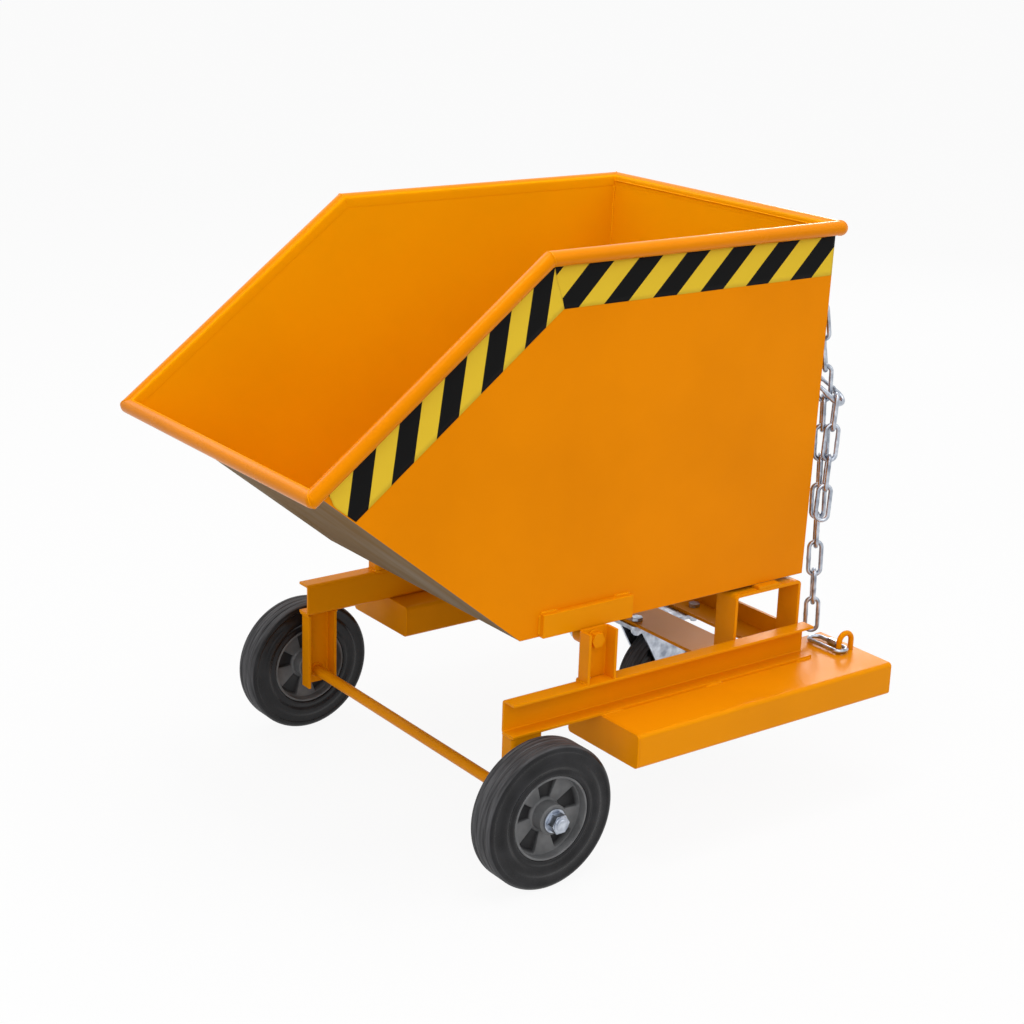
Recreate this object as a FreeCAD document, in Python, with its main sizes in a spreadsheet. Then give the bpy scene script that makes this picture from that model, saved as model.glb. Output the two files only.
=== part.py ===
import FreeCAD, Part
import os
import Sketcher

# Tipping skip trolley: a sheet-steel skip that tips forward on a wheeled chassis with fork pockets.
# Frame: +X is the way the skip tips, +Y is the left side, +Z is up, the floor is z = 0.
# Driving sizes, in millimetres (angles in degrees), by sub-assembly.
SIZES = {
    "skip": {
        "skip_width": (582, "across the outer faces of the side panels"),
        "skip_sheet": (3, "sheet of the skip"),
        "skip_clearance": (390, "floor to the underside of the skip"),
        "skip_floor_length": (626.5, "flat floor of the skip, heel to toe"),
        "skip_height": (612.4, "underside of the skip to the sheet's top edge"),
        "rear_lean": (15.1, "how far the rear wall and the panels' rear edges lean back at the top"),
        "toe_setback": (9.5, "skip's toe behind the front axle"),
        "knee_setback": (35, "bend of the rim behind the front axle"),
        "lip_ahead": (382.75, "lip tube ahead of the front axle"),
        "lip_height": (695.5, "lip tube above the floor"),
        "fold_radius": (4, "inner radius of the folds"),
        "rim_tube_dia": (25, "rim tube, outside"),
        "rim_tube_wall": (2.5, "rim tube's wall"),
        "bearing_bar_length": (187, "flat bar beside the pivot"),
        "bearing_bar_height": (40, "flat bar beside the pivot"),
        "bearing_bar_thick": (11, "flat bar beside the pivot"),
        "bearing_bar_lead": (100, "bar's front end ahead of the pivot"),
        "sleeve_dia": (34, "pivot sleeve, outside"),
        "sleeve_length": (30, "pivot sleeve"),
        "edge_round": (1.5, "broken edges of flat bar"),
    },
    "chassis": {
        "pocket_clearance": (184, "floor to the underside of the fork pockets"),
        "pocket_height": (60.3, "fork pocket, outside"),
        "pocket_width": (183.7, "fork pocket, outside"),
        "pocket_wall": (4, "fork pocket's wall"),
        "pocket_corner": (7, "fork pocket's outer corner radius"),
        "pocket_inset": (55.2, "pocket's inner side inside the channel's web"),
        "pocket_front_setback": (149.5, "pocket's closed front behind the axle"),
        "pocket_overhang": (105, "pocket's open tail behind the channel's tail"),
        "side_play": (2.5, "skip's bearing bar to the channel's web"),
        "channel_height": (60.2, "main channel"),
        "channel_flange": (32, "main channel"),
        "channel_wall": (5, "main channel and posts"),
        "channel_bend": (7, "outer bend radius of channel and posts"),
        "channel_front": (32, "main channel's front end ahead of the axle"),
        "channel_tail": (30.4, "main channel's tail behind the castor's rear bolts"),
        "post_width": (60, "wheel post and pivot post"),
        "post_depth": (30, "wheel post and pivot post"),
        "wheel_post_clearance": (99.5, "floor to the wheel post's foot"),
        "pivot_setback": (148, "pivot behind the front axle"),
        "pivot_post_height": (87.5, "pivot post above the channel"),
        "member_thick": (6, "cross bar and cross angle"),
        "front_bar_lead": (13, "front cross bar's front edge ahead of the castor's front bolts"),
        "front_bar_width": (89, "front cross bar"),
        "rear_angle_leg": (60, "rear cross angle, flat leg"),
        "rear_angle_rise": (40, "rear cross angle, standing leg"),
        "rest_width": (50, "rear rest, flat bar"),
        "rest_thick": (6, "rear rest, flat bar"),
        "rest_lead": (63, "rear rest's front leg ahead of the castor's swivel axis"),
        "rest_length": (155.8, "rear rest, leg to leg"),
        "rest_bend": (9, "rear rest's outer bend radius"),
        "pad_length": (48, "pad on the rear rest"),
        "pad_thick": (6, "pad on the rear rest"),
        "rest_gap": (0.3, "skip's underside above the pads"),
        "weld_gap": (0.05, "bar in its hole, before welding"),
    },
    "fasteners": {
        "pivot_bolt_dia": (16, "pivot bolt"),
        "pivot_flats": (24, "pivot bolt and nut, across flats"),
        "pivot_head": (10, "pivot bolt's head"),
        "pivot_nut": (14, "pivot lock nut"),
        "pivot_washer_dia": (34, "pivot washer"),
        "washer_thick": (3, "washers"),
        "pivot_play": (0.08, "pivot bolt in its sleeve, on the radius"),
        "bolt_hole_play": (0.4, "bolt in its hole, on the radius"),
        "end_play": (0.5, "beside a turning part"),
        "thread_out": (4, "thread past a nut"),
    },
    "front wheels": {
        "axle_dia": (20, "axle bar"),
        "axle_reach": (55.2, "wheel's mid-plane to the axle's end"),
        "wheel_dia": (250, "front wheel"),
        "wheel_width": (58, "front tyre"),
        "wheel_offset": (73.3, "channel's web to the wheel's mid-plane"),
        "tyre_shoulder": (7, "front tyre's rounded shoulder"),
        "rim_dia": (146, "front rim, tyre seat"),
        "rim_seat": (4.5, "front rim's barrel, thickness"),
        "rim_width": (52, "front rim's barrel"),
        "rim_web": (22, "front rim's spokes"),
        "rim_floor": (6, "front rim's disc between the spokes"),
        "hub_dia": (52, "front rim's hub"),
        "hub_length": (64, "front rim's hub"),
        "bush_wall": (4, "front wheel bush"),
        "bush_play": (0.08, "bush on its axle, on the radius"),
        "pocket_margin": (4, "spoke pocket to hub and barrel"),
        "axle_nut_flats": (30, "axle lock nut"),
        "axle_nut_height": (16, "axle lock nut"),
        "axle_washer_dia": (41, "axle washer"),
        "spacer_wall": (5, "axle spacer"),
    },
    "castor": {
        "castor_setback": (530, "castor's swivel axis behind the front axle"),
        "castor_height": (250, "castor, floor to plate"),
        "castor_trail": (50, "castor wheel behind its swivel axis"),
        "castor_plate_length": (175, "castor plate along the trolley"),
        "castor_plate_width": (140, "castor plate across the trolley"),
        "castor_plate_thick": (8, "castor plate"),
        "castor_plate_corner": (12, "castor plate"),
        "castor_bolt_length": (140, "bolt spacing along the trolley"),
        "castor_bolt_width": (105, "bolt spacing across the trolley"),
        "castor_bolt_dia": (12, "castor bolt"),
        "castor_bolt_flats": (19, "castor bolt and nut, across flats"),
        "castor_bolt_head": (7.5, "castor bolt's head"),
        "castor_nut": (10, "castor bolt's nut"),
        "swivel_ring_dia": (86, "swivel ring"),
        "swivel_ring_height": (11, "swivel ring"),
        "kingpin_dia": (18, "kingpin"),
        "kingpin_head_dia": (30, "kingpin's riveted head"),
        "kingpin_head": (8, "kingpin's riveted head"),
        "crown_thick": (7, "fork's crown"),
        "crown_front": (42, "crown ahead of the swivel axis"),
        "crown_back": (62, "crown behind the swivel axis"),
        "fork_gap": (64, "between the fork's legs"),
        "fork_leg": (5, "fork's leg"),
        "fork_foot": (24, "fork's rounded foot, radius"),
        "castor_wheel_dia": (200, "castor wheel"),
        "castor_wheel_width": (50, "castor tyre"),
        "castor_shoulder": (6, "castor tyre's shoulder"),
        "castor_rim_dia": (126, "castor rim, tyre seat"),
        "castor_rim_seat": (8, "castor rim's barrel"),
        "castor_rim_width": (44, "castor rim's barrel"),
        "castor_rim_web": (18, "castor rim's web"),
        "castor_hub_dia": (40, "castor rim's hub"),
        "castor_axle_dia": (12, "castor wheel's bolt"),
        "castor_bush_wall": (4, "castor wheel's bush"),
    },
    "lock chain": {
        "chain_wire": (8, "chain, hook and anchor wire"),
        "chain_pitch": (55.2, "link, inside length"),
        "chain_gap": (14, "link, inside width"),
        "chain_turn": (53, "links below the hook, turned about the chain, degrees"),
        "chain_slack": (0.6, "play between two links"),
        "chain_count": (13, "links of the hanging chain"),
        "chain_inset": (19, "chain below the hook inside the side panel's outer face"),
        "anchor_inset": (55, "anchor inside the side panel's outer face"),
        "chain_lean": (24, "chain's lower end behind its upper end"),
        "tail_count": (4, "links of the loose tail"),
        "tail_lean_x": (16, "tail's lower end ahead of its upper end"),
        "tail_lean_y": (6, "tail's lower end outside its upper end"),
        "tail_turn": (143, "tail's first link, turned about the tail, degrees"),
        "tail_seat": (21, "tail past the middle of the hook's near side"),
        "tail_lift": (2.3, "tail's first link above level on the sloping hook"),
        "anchor_drop": (32.9, "anchor's lower leg below the sheet's top edge"),
        "anchor_height": (20, "anchor eye, leg to leg"),
        "anchor_leg": (22, "anchor eye's straight legs"),
        "hook_link": (4, "link that the hook is clipped round, from the top"),
        "hook_width": (28, "hook, middle of wire to middle of wire"),
        "hook_length": (44, "hook's straight sides"),
        "hook_grip": (13.5, "chain past the hook's upper bend"),
        "hook_drop": (5, "hook below the middle of its link"),
        "hook_heading": (143, "hook's way seen from above, degrees"),
        "hook_fall": (38.5, "hook's tilt below level, degrees"),
        "hook_roll": (22, "hook's roll about its long axis, degrees"),
        "gate_share": (0.6, "gate's share of the hook's side"),
        "gate_wire": (6, "hook's gate"),
        "gate_knuckle": (7, "round knuckle that the gate turns on"),
        "gate_knuckle_length": (8, "round knuckle that the gate turns on"),
        "eye_wire": (10, "chain eye on the pocket"),
        "eye_span": (30, "chain eye, leg to leg"),
        "eye_height": (38, "chain eye above the pocket"),
        "eye_offset": (38.5, "channel's web to the chain eye"),
        "eye_inset": (43.4, "chain eye's front leg ahead of the pocket's tail"),
        "quick_wire": (8, "quick link"),
        "quick_width": (27, "quick link, middle of wire to middle of wire"),
        "quick_length": (56, "quick link's straight sides"),
        "quick_nut_flats": (12, "quick link's sleeve nut"),
        "quick_nut_length": (20, "quick link's sleeve nut"),
        "quick_gap": (14, "quick link's open side, under its nut"),
    },
}

# Places worked out from the sizes, each a formula of the sheet; later ones may use earlier ones.
PLACES = {
    "tail_reach": "Sizes.castor_setback + Sizes.castor_bolt_length / 2 + Sizes.channel_tail",
    "pocket_reach": "tail_reach + Sizes.pocket_overhang",
    "axle_x": "(pocket_reach - Sizes.lip_ahead - Sizes.rim_tube_dia / 2) / 2",
    "axle_z": "Sizes.wheel_dia / 2",
    "half_width": "Sizes.skip_width / 2",
    "floor_z": "Sizes.skip_clearance",
    "rim_z": "Sizes.skip_clearance + Sizes.skip_height",
    "tube_r": "Sizes.rim_tube_dia / 2",
    "tube_off": "tube_r - Sizes.skip_sheet",
    "edge_drop": "sqrt(tube_r ^ 2 - tube_off ^ 2) + Sizes.weld_gap",
    "tube_z": "rim_z + edge_drop",
    "side_tube_y": "half_width + tube_off",
    "toe_x": "axle_x - Sizes.toe_setback",
    "heel_x": "toe_x - Sizes.skip_floor_length",
    "lean": "atan2(Sizes.rear_lean; Sizes.skip_height)",
    "knee_tube_x": "axle_x - Sizes.knee_setback",
    "lip_tube_x": "axle_x + Sizes.lip_ahead",
    "lip_tube_z": "Sizes.lip_height",
    "slope": "atan2(lip_tube_z - floor_z; lip_tube_x - toe_x)"
             " + asin(tube_off / hypot(lip_tube_x - toe_x; lip_tube_z - floor_z))",
    "fall": "atan2(tube_z - lip_tube_z; lip_tube_x - knee_tube_x)",
    "lip_run": "-(edge_drop + tube_off * cos(slope + fall)) / sin(slope + fall)",
    "knee_x": "knee_tube_x - edge_drop * tan(fall / 2)",
    "lip_x": "lip_tube_x + lip_run * cos(slope) - tube_off * sin(slope)",
    "lip_z": "lip_tube_z + lip_run * sin(slope) + tube_off * cos(slope)",
    "wrap_end_x": "lip_tube_x - edge_drop * cos(slope) - tube_off * sin(slope)",
    "wrap_end_z": "lip_tube_z - edge_drop * sin(slope) + tube_off * cos(slope)",
    "rear_tube_x": "heel_x - (tube_z - floor_z) * tan(lean) + Sizes.skip_sheet / 2 / cos(lean)",
    "rear_edge_z": "tube_z - tube_r - Sizes.weld_gap",
    "rear_edge_x": "heel_x - (rear_edge_z - floor_z) * tan(lean)",
    "notch_x": "rear_tube_x + tube_r + Sizes.weld_gap",
    "wall_foot_x": "rear_tube_x + (tube_z - floor_z) * tan(lean) + tube_off / cos(lean)",
    "wall_top_x": "wall_foot_x - Sizes.skip_height * tan(lean)",
    "pivot_x": "axle_x - Sizes.pivot_setback",
    "pivot_z": "floor_z - Sizes.sleeve_dia / 2",
    "bar_face_y": "half_width + Sizes.bearing_bar_thick",
    "web_y": "bar_face_y + Sizes.side_play",
    "sleeve_in_y": "bar_face_y - Sizes.sleeve_length",
    "channel_z": "Sizes.pocket_clearance + Sizes.pocket_height",
    "channel_top": "channel_z + Sizes.channel_height",
    "channel_out_y": "web_y + Sizes.channel_flange",
    "post_out_y": "web_y + Sizes.post_depth",
    "castor_x": "axle_x - Sizes.castor_setback",
    "tail_x": "axle_x - tail_reach",
    "pocket_tail_x": "axle_x - pocket_reach",
    "pocket_front_x": "axle_x - Sizes.pocket_front_setback",
    "pocket_mid_y": "web_y - Sizes.pocket_inset + Sizes.pocket_width / 2",
    "pocket_mid_z": "Sizes.pocket_clearance + Sizes.pocket_height / 2",
    "member_z": "Sizes.castor_height",
    "member_top": "member_z + Sizes.member_thick",
    "front_bar_x": "castor_x + Sizes.castor_bolt_length / 2 + Sizes.front_bar_lead - Sizes.front_bar_width",
    "rest_front_x": "castor_x + Sizes.rest_lead",
    "rest_back_x": "rest_front_x - Sizes.rest_length",
    "rest_top": "floor_z - Sizes.rest_gap - Sizes.pad_thick",
    "bolt_seat_y": "web_y + Sizes.channel_wall",
    "wheel_y": "web_y + Sizes.wheel_offset",
    "wheel_in_y": "wheel_y - Sizes.hub_length / 2",
    "wheel_out_y": "wheel_y + Sizes.hub_length / 2",
    "axle_end_y": "wheel_y + Sizes.axle_reach",
    "bush_r": "Sizes.axle_dia / 2 + Sizes.bush_play",
    "bush_out_r": "bush_r + Sizes.bush_wall",
    "castor_axle_x": "castor_x - Sizes.castor_trail",
    "castor_axle_z": "Sizes.castor_wheel_dia / 2",
    "plate_z": "member_z - Sizes.castor_plate_thick",
    "ring_z": "plate_z - Sizes.swivel_ring_height",
    "crown_z": "ring_z - Sizes.rest_gap - Sizes.crown_thick",
    "castor_hub": "Sizes.fork_gap - 2 * Sizes.end_play",
    "castor_bush_r": "Sizes.castor_axle_dia / 2 + Sizes.bush_play",
    "castor_bush_out_r": "castor_bush_r + Sizes.castor_bush_wall",
    "anchor_z": "rim_z - Sizes.anchor_drop",
    "anchor_wall_x": "wall_foot_x - (anchor_z - floor_z) * tan(lean)",
    "anchor_y": "half_width - Sizes.anchor_inset",
    "chain_y": "half_width - Sizes.chain_inset",
    "chain_top_x": "anchor_wall_x - Sizes.anchor_leg - Sizes.chain_wire / 2",
    "chain_step": "Sizes.chain_pitch - Sizes.chain_slack",
    "chain_hang": "(Sizes.chain_pitch - Sizes.chain_wire - Sizes.chain_slack) / 2",
    "eye_y": "web_y + Sizes.eye_offset",
    "eye_x": "pocket_tail_x + Sizes.eye_inset",
    "quick_z": "channel_z + Sizes.rest_gap + Sizes.quick_nut_flats / 2",
}

SIDES = {"left": 1, "right": -1}
LIFT_TO_Y = FreeCAD.Rotation(FreeCAD.Vector(1, 0, 0), -90)
TURN_ROUND = FreeCAD.Rotation(FreeCAD.Vector(0, 0, 1), 180)
SPOKES = 5
SPOKE_POCKET_ANGLE = 17

doc = FreeCAD.newDocument("tipping_skip_trolley")
nodes = {}


def fill_sheets():
    """Write the driving sizes and the formulas of places into two spreadsheets."""
    sizes = doc.addObject("Spreadsheet::Sheet", "Sizes")
    row = 0
    for group in SIZES.values():
        for alias, (number, remark) in group.items():
            row += 1
            sizes.set(f"A{row}", alias)
            sizes.set(f"B{row}", str(number))
            sizes.setAlias(f"B{row}", alias)
            sizes.set(f"C{row}", remark)
    doc.recompute()
    places = doc.addObject("Spreadsheet::Sheet", "Places")
    for row, (alias, formula) in enumerate(PLACES.items(), 1):
        places.set(f"A{row}", alias)
        places.set(f"B{row}", "=" + formula)
        places.setAlias(f"B{row}", alias)
    doc.recompute()
    return places


places = fill_sheets()


def value(expression):
    """Number that an expression of the sheets gives."""
    result = places.evalExpression(expression)
    return float(getattr(result, "Value", result))


def point(x, y, z):
    """Point whose coordinates are expressions."""
    return FreeCAD.Vector(value(x), value(y), value(z))


def keep(obj, label):
    """Name an object as one node of the trolley."""
    obj.Label = label
    nodes[label] = obj
    return obj


def bind(obj, **expressions):
    """Tie properties to the sheets; at_x, at_y and at_z place the object."""
    for name, expression in expressions.items():
        path = f"Placement.Base.{name[-1]}" if name.startswith("at_") else name
        obj.setExpression(path, expression)
    return obj


def plane(body, role):
    """Origin plane or axis of a body."""
    return next(item for item in body.Origin.OriginFeatures if item.Role == role)


def sketch_on(body, role):
    """Empty sketch on an origin plane of a body."""
    sketch = body.newObject("Sketcher::SketchObject", "Outline")
    sketch.AttachmentSupport = (plane(body, role), "")
    sketch.MapMode = "FlatFace"
    return sketch


def draw_polygon(sketch, corners):
    """Closed outline of straight sides, each corner held by a pair of expressions."""
    spots = [(value(u), value(v)) for u, v in corners]
    first = sketch.GeometryCount
    count = len(corners)
    for i in range(count):
        start = FreeCAD.Vector(*spots[i], 0)
        end = FreeCAD.Vector(*spots[(i + 1) % count], 0)
        sketch.addGeometry(Part.LineSegment(start, end), False)
    for i in range(count):
        join = Sketcher.Constraint("Coincident", first + i, 2, first + (i + 1) % count, 1)
        sketch.addConstraint(join)
    for i, (corner, spot) in enumerate(zip(corners, spots)):
        for kind, expression, number in zip(("DistanceX", "DistanceY"), corner, spot):
            hold = Sketcher.Constraint(kind, -1, 1, first + i, 1, number)
            index = sketch.addConstraint(hold)
            sketch.setExpression(f"Constraints[{index}]", expression)


def draw_circle(sketch, u, v, radius):
    """Circle held by expressions for its centre and radius."""
    centre = FreeCAD.Vector(value(u), value(v), 0)
    index = sketch.addGeometry(Part.Circle(centre, FreeCAD.Vector(0, 0, 1), value(radius)), False)
    for kind, expression in (("DistanceX", u), ("DistanceY", v)):
        hold = Sketcher.Constraint(kind, -1, 1, index, 3, value(expression))
        sketch.setExpression(f"Constraints[{sketch.addConstraint(hold)}]", expression)
    hold = Sketcher.Constraint("Radius", index, value(radius))
    sketch.setExpression(f"Constraints[{sketch.addConstraint(hold)}]", radius)


def new_body(name):
    """Empty body."""
    return doc.addObject("PartDesign::Body", name)


def pad(body, sketch, length, symmetric=False):
    """Pad of a sketch, to one side or about its plane."""
    feature = body.newObject("PartDesign::Pad", "Pad")
    feature.Profile = sketch
    feature.SideType = "Symmetric" if symmetric else "One side"
    feature.setExpression("Length", length)
    sketch.Visibility = False
    return feature


def extrusion(name, role, loops, length, symmetric=False):
    """Body padded from closed outlines of straight sides on an origin plane."""
    body = new_body(name)
    sketch = sketch_on(body, role)
    for corners in loops:
        draw_polygon(sketch, corners)
    pad(body, sketch, length, symmetric)
    return body


def round_edges(body, axis, spots, radius):
    """Fillet the edges along one axis that pass through the given pairs of expressions."""
    doc.recompute()
    others = [i for i in range(3) if i != "XYZ".index(axis)]
    wanted = [(value(u), value(v)) for u, v in spots]
    names = []
    base = body.Tip
    for number, edge in enumerate(base.Shape.Edges, 1):
        ends = [vertex.Point for vertex in edge.Vertexes]
        for spot in wanted:
            near = [abs(end[k] - spot[j]) < Part.Vertex(end).Tolerance * 1e4
                    for end in ends for j, k in enumerate(others)]
            if len(ends) == 2 and all(near):
                names.append(f"Edge{number}")
    fillet = body.newObject("PartDesign::Fillet", "Bend")
    fillet.Base = (base, names)
    fillet.setExpression("Radius", radius)
    return fillet


def drill(body, role, u, v, radius):
    """Round hole right through a body, square to an origin plane."""
    sketch = sketch_on(body, role)
    draw_circle(sketch, u, v, radius)
    cut = body.newObject("PartDesign::Pocket", "Hole")
    cut.Profile = sketch
    cut.Type = "ThroughAll"
    cut.SideType = "Symmetric"
    sketch.Visibility = False
    return cut


def box(name, x, y, z, length, width, height):
    """Block from its lowest corner."""
    block = doc.addObject("Part::Box", name)
    return bind(block, Length=length, Width=width, Height=height, at_x=x, at_y=y, at_z=z)


def rod_y(name, x, y, z, radius, length):
    """Round bar along +Y from its end."""
    rod = doc.addObject("Part::Cylinder", name)
    rod.Placement.Rotation = LIFT_TO_Y
    return bind(rod, Radius=radius, Height=length, at_x=x, at_y=y, at_z=z)


def rod_z(name, x, y, z, radius, length):
    """Round bar along +Z from its foot."""
    rod = doc.addObject("Part::Cylinder", name)
    return bind(rod, Radius=radius, Height=length, at_x=x, at_y=y, at_z=z)


def hex_y(name, x, y, z, flats, height):
    """Hexagon along +Y from its face."""
    prism = doc.addObject("Part::Prism", name)
    prism.Polygon = 6
    prism.Placement.Rotation = LIFT_TO_Y
    return bind(prism, Circumradius=f"{flats} / sqrt(3)", Height=height, at_x=x, at_y=y, at_z=z)


def hex_z(name, x, y, z, flats, height):
    """Hexagon along +Z from its face."""
    prism = doc.addObject("Part::Prism", name)
    prism.Polygon = 6
    return bind(prism, Circumradius=f"{flats} / sqrt(3)", Height=height, at_x=x, at_y=y, at_z=z)


def cut(name, base, tool):
    """One solid less another."""
    result = doc.addObject("Part::Cut", name)
    result.Base = base
    result.Tool = tool
    return result


def fuse(name, first, second):
    """Two solids of one piece joined."""
    result = doc.addObject("Part::Fuse", name)
    result.Base = first
    result.Tool = second
    result.Refine = True
    return result


def group(label, members):
    """Like pieces kept together in one node as separate solids."""
    compound = doc.addObject("Part::Compound", label)
    compound.Links = members
    return keep(compound, label)


def ring_y(name, x, y, z, outer, inner, length):
    """Plain ring along +Y."""
    core = rod_y(name + "_core", x, y, z, outer, length)
    bore = rod_y(name + "_bore", x, y, z, inner, length)
    return cut(name, core, bore)


def lower(side, near, length):
    """Lowest Y of a piece that starts near the middle, on the left or the right."""
    return near if side > 0 else f"-({near}) - ({length})"


# The skip's sheet work
def make_wrap():
    """Folded sheet of rear wall, floor and slope, between the side panels and set in from their rear edges."""
    sheet = "Sizes.skip_sheet"
    outer = [("Places.wall_top_x", "Places.rim_z"), ("Places.wall_foot_x", "Places.floor_z"),
             ("Places.toe_x", "Places.floor_z"), ("Places.wrap_end_x", "Places.wrap_end_z")]
    inner = [(f"Places.wrap_end_x - {sheet} * sin(Places.slope)",
              f"Places.wrap_end_z + {sheet} * cos(Places.slope)"),
             (f"Places.toe_x - {sheet} * tan(Places.slope / 2)", f"Places.floor_z + {sheet}"),
             (f"Places.wall_foot_x + {sheet} * (1 / cos(Places.lean) - tan(Places.lean))",
              f"Places.floor_z + {sheet}"),
             (f"Places.wall_top_x + {sheet} / cos(Places.lean)", "Places.rim_z")]
    body = extrusion("SkipWrap", "XZ_Plane", [outer + inner], f"Sizes.skip_width - 2 * {sheet}", True)
    round_edges(body, "Y", outer[1:3], f"Sizes.fold_radius + {sheet}")
    round_edges(body, "Y", inner[1:3], "Sizes.fold_radius")
    keep(body, "skip_wrap")


def make_side_panels():
    """Flat panels that close the skip on both sides, notched under the rear rim tube."""
    corners = [("Places.toe_x", "Places.floor_z"), ("Places.heel_x", "Places.floor_z"),
               ("Places.rear_edge_x", "Places.rear_edge_z"), ("Places.notch_x", "Places.rear_edge_z"),
               ("Places.notch_x", "Places.rim_z"), ("Places.knee_x", "Places.rim_z"),
               ("Places.lip_x", "Places.lip_z")]
    for side, sign in SIDES.items():
        body = extrusion("SkipSide", "XZ_Plane", [corners], "Sizes.skip_sheet")
        outer_y = "Places.half_width" if sign > 0 else "Sizes.skip_sheet - Places.half_width"
        bind(body, at_y=outer_y)
        keep(body, f"skip_side_{side}")


def half_space(spot, normal, reach):
    """Block that fills the space past a plane."""
    block = Part.makeBox(reach, reach, reach, FreeCAD.Vector(-reach / 2, -reach / 2, 0))
    block.Placement = FreeCAD.Placement(spot, FreeCAD.Rotation(FreeCAD.Vector(0, 0, 1), normal))
    return block


def round_ended(start, end, radius):
    """Round bar between two points with a ball on each end."""
    run = end - start
    side = FreeCAD.Vector(-run.y, run.x, 0).normalize() * radius
    tip = FreeCAD.Vector(run).normalize() * radius
    bows = [(side + tip * sign).normalize() * radius for sign in (-1, 1)]
    outline = Part.Wire([
        Part.Arc(start - tip, start + bows[0], start + side).toShape(),
        Part.makeLine(start + side, end + side),
        Part.Arc(end + side, end + bows[1], end + tip).toShape(),
        Part.makeLine(end + tip, start - tip),
    ])
    return Part.Face(outline).revolve(start, run, 360)


def mitred_tube(before, start, end, after):
    """Length of rim tube, rounded at its corners and cut on the planes that halve them."""
    run = end - start
    along = FreeCAD.Vector(run).normalize()
    radius = value("Places.tube_r")
    tube = round_ended(start, end, radius)
    tube = tube.cut(round_ended(start, end, radius - value("Sizes.rim_tube_wall")))
    for spot, normal in ((end, along + (after - end).normalize()),
                         (start, (before - start).normalize() - along)):
        tube = tube.cut(half_space(spot, normal, 2 * run.Length))
    return tube


def make_rim():
    """Rim tube round the skip's mouth, in six mitred lengths."""
    names = {
        "rim_tube_top_left": 0, "rim_tube_slope_left": 1, "rim_tube_lip": 2,
        "rim_tube_slope_right": 3, "rim_tube_top_right": 4, "rim_tube_rear": 5,
    }
    left = [point(x, "Places.side_tube_y", z) for x, z in (
        ("Places.rear_tube_x", "Places.tube_z"), ("Places.knee_tube_x", "Places.tube_z"),
        ("Places.lip_tube_x", "Places.lip_tube_z"))]
    loop = left + [FreeCAD.Vector(p.x, -p.y, p.z) for p in reversed(left)]
    count = len(loop)
    for label, i in names.items():
        tube = doc.addObject("Part::Feature", label)
        tube.Shape = mitred_tube(loop[i - 1], loop[i], loop[(i + 1) % count], loop[(i + 2) % count])
        keep(tube, label)


def make_bearings():
    """Flat bar on each side panel and the pivot sleeve below it."""
    back = "Places.pivot_x + Sizes.bearing_bar_lead - Sizes.bearing_bar_length"
    front = "Places.pivot_x + Sizes.bearing_bar_lead"
    top = "Places.floor_z + Sizes.bearing_bar_height"
    corners = [(back, "Places.floor_z"), (front, "Places.floor_z"), (front, top), (back, top)]
    for side, sign in SIDES.items():
        body = extrusion("BearingBar", "XZ_Plane", [corners], "Sizes.bearing_bar_thick")
        bind(body, at_y="Places.bar_face_y" if sign > 0 else "-Places.half_width")
        face = "0" if sign > 0 else "-Sizes.bearing_bar_thick"
        round_edges(body, "X", [(face, top)], "Sizes.edge_round")
        keep(body, f"bearing_bar_{side}")
        sleeve = ring_y(f"PivotSleeve_{side}", "Places.pivot_x",
                        lower(sign, "Places.sleeve_in_y", "Sizes.sleeve_length"), "Places.pivot_z",
                        "Sizes.sleeve_dia / 2", "Sizes.pivot_bolt_dia / 2 + Sizes.pivot_play",
                        "Sizes.sleeve_length")
        keep(sleeve, f"pivot_sleeve_{side}")


# The chassis
def channel_corners(sign, near, deep, wall, low, high):
    """Corners of a channel's section: web near the middle of the trolley, flanges outward."""
    far = f"({near}) + ({deep})"
    web = f"({near}) + ({wall})"
    corners = [(near, low), (far, low), (far, f"{low} + {wall}"), (web, f"{low} + {wall}"),
               (web, f"{high} - {wall}"), (far, f"{high} - {wall}"), (far, high), (near, high)]
    return [(f"{sign} * ({u})", v) for u, v in corners]


def make_channels():
    """Main channel on each side, web inwards, and the posts above and below it."""
    wall = "Sizes.channel_wall"
    web = "Places.web_y"
    bend_in = "Sizes.channel_bend - Sizes.channel_wall"
    for side, sign in SIDES.items():
        corners = channel_corners(sign, web, "Sizes.channel_flange", wall,
                                  "Places.channel_z", "Places.channel_top")
        body = extrusion("MainChannel", "YZ_Plane", [corners],
                         "Places.axle_x + Sizes.channel_front - Places.tail_x")
        bind(body, at_x="Places.tail_x")
        round_edges(body, "X", [corners[0], corners[7]], "Sizes.channel_bend")
        round_edges(body, "X", [corners[3], corners[4]], bend_in)
        keep(body, f"main_channel_{side}")
        make_pivot_post(side, sign)
        make_wheel_post(side, sign)


def make_pivot_post(side, sign):
    """Short standing channel that carries the pivot, web inwards."""
    back = "Places.pivot_x - Sizes.post_width / 2"
    front = "Places.pivot_x + Sizes.post_width / 2"
    section = channel_corners(sign, "Places.web_y", "Sizes.post_depth", "Sizes.channel_wall",
                              back, front)
    corners = [(along, across) for across, along in section]
    body = extrusion("PivotPost", "XY_Plane", [corners], "Sizes.pivot_post_height")
    bind(body, at_z="Places.channel_top")
    round_edges(body, "Z", [corners[0], corners[7]], "Sizes.channel_bend")
    round_edges(body, "Z", [corners[3], corners[4]], "Sizes.channel_bend - Sizes.channel_wall")
    drill(body, "XZ_Plane", "Places.pivot_x", "Places.pivot_z - Places.channel_top",
          "Sizes.pivot_bolt_dia / 2 + Sizes.bolt_hole_play")
    keep(body, f"pivot_post_{side}")


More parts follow.
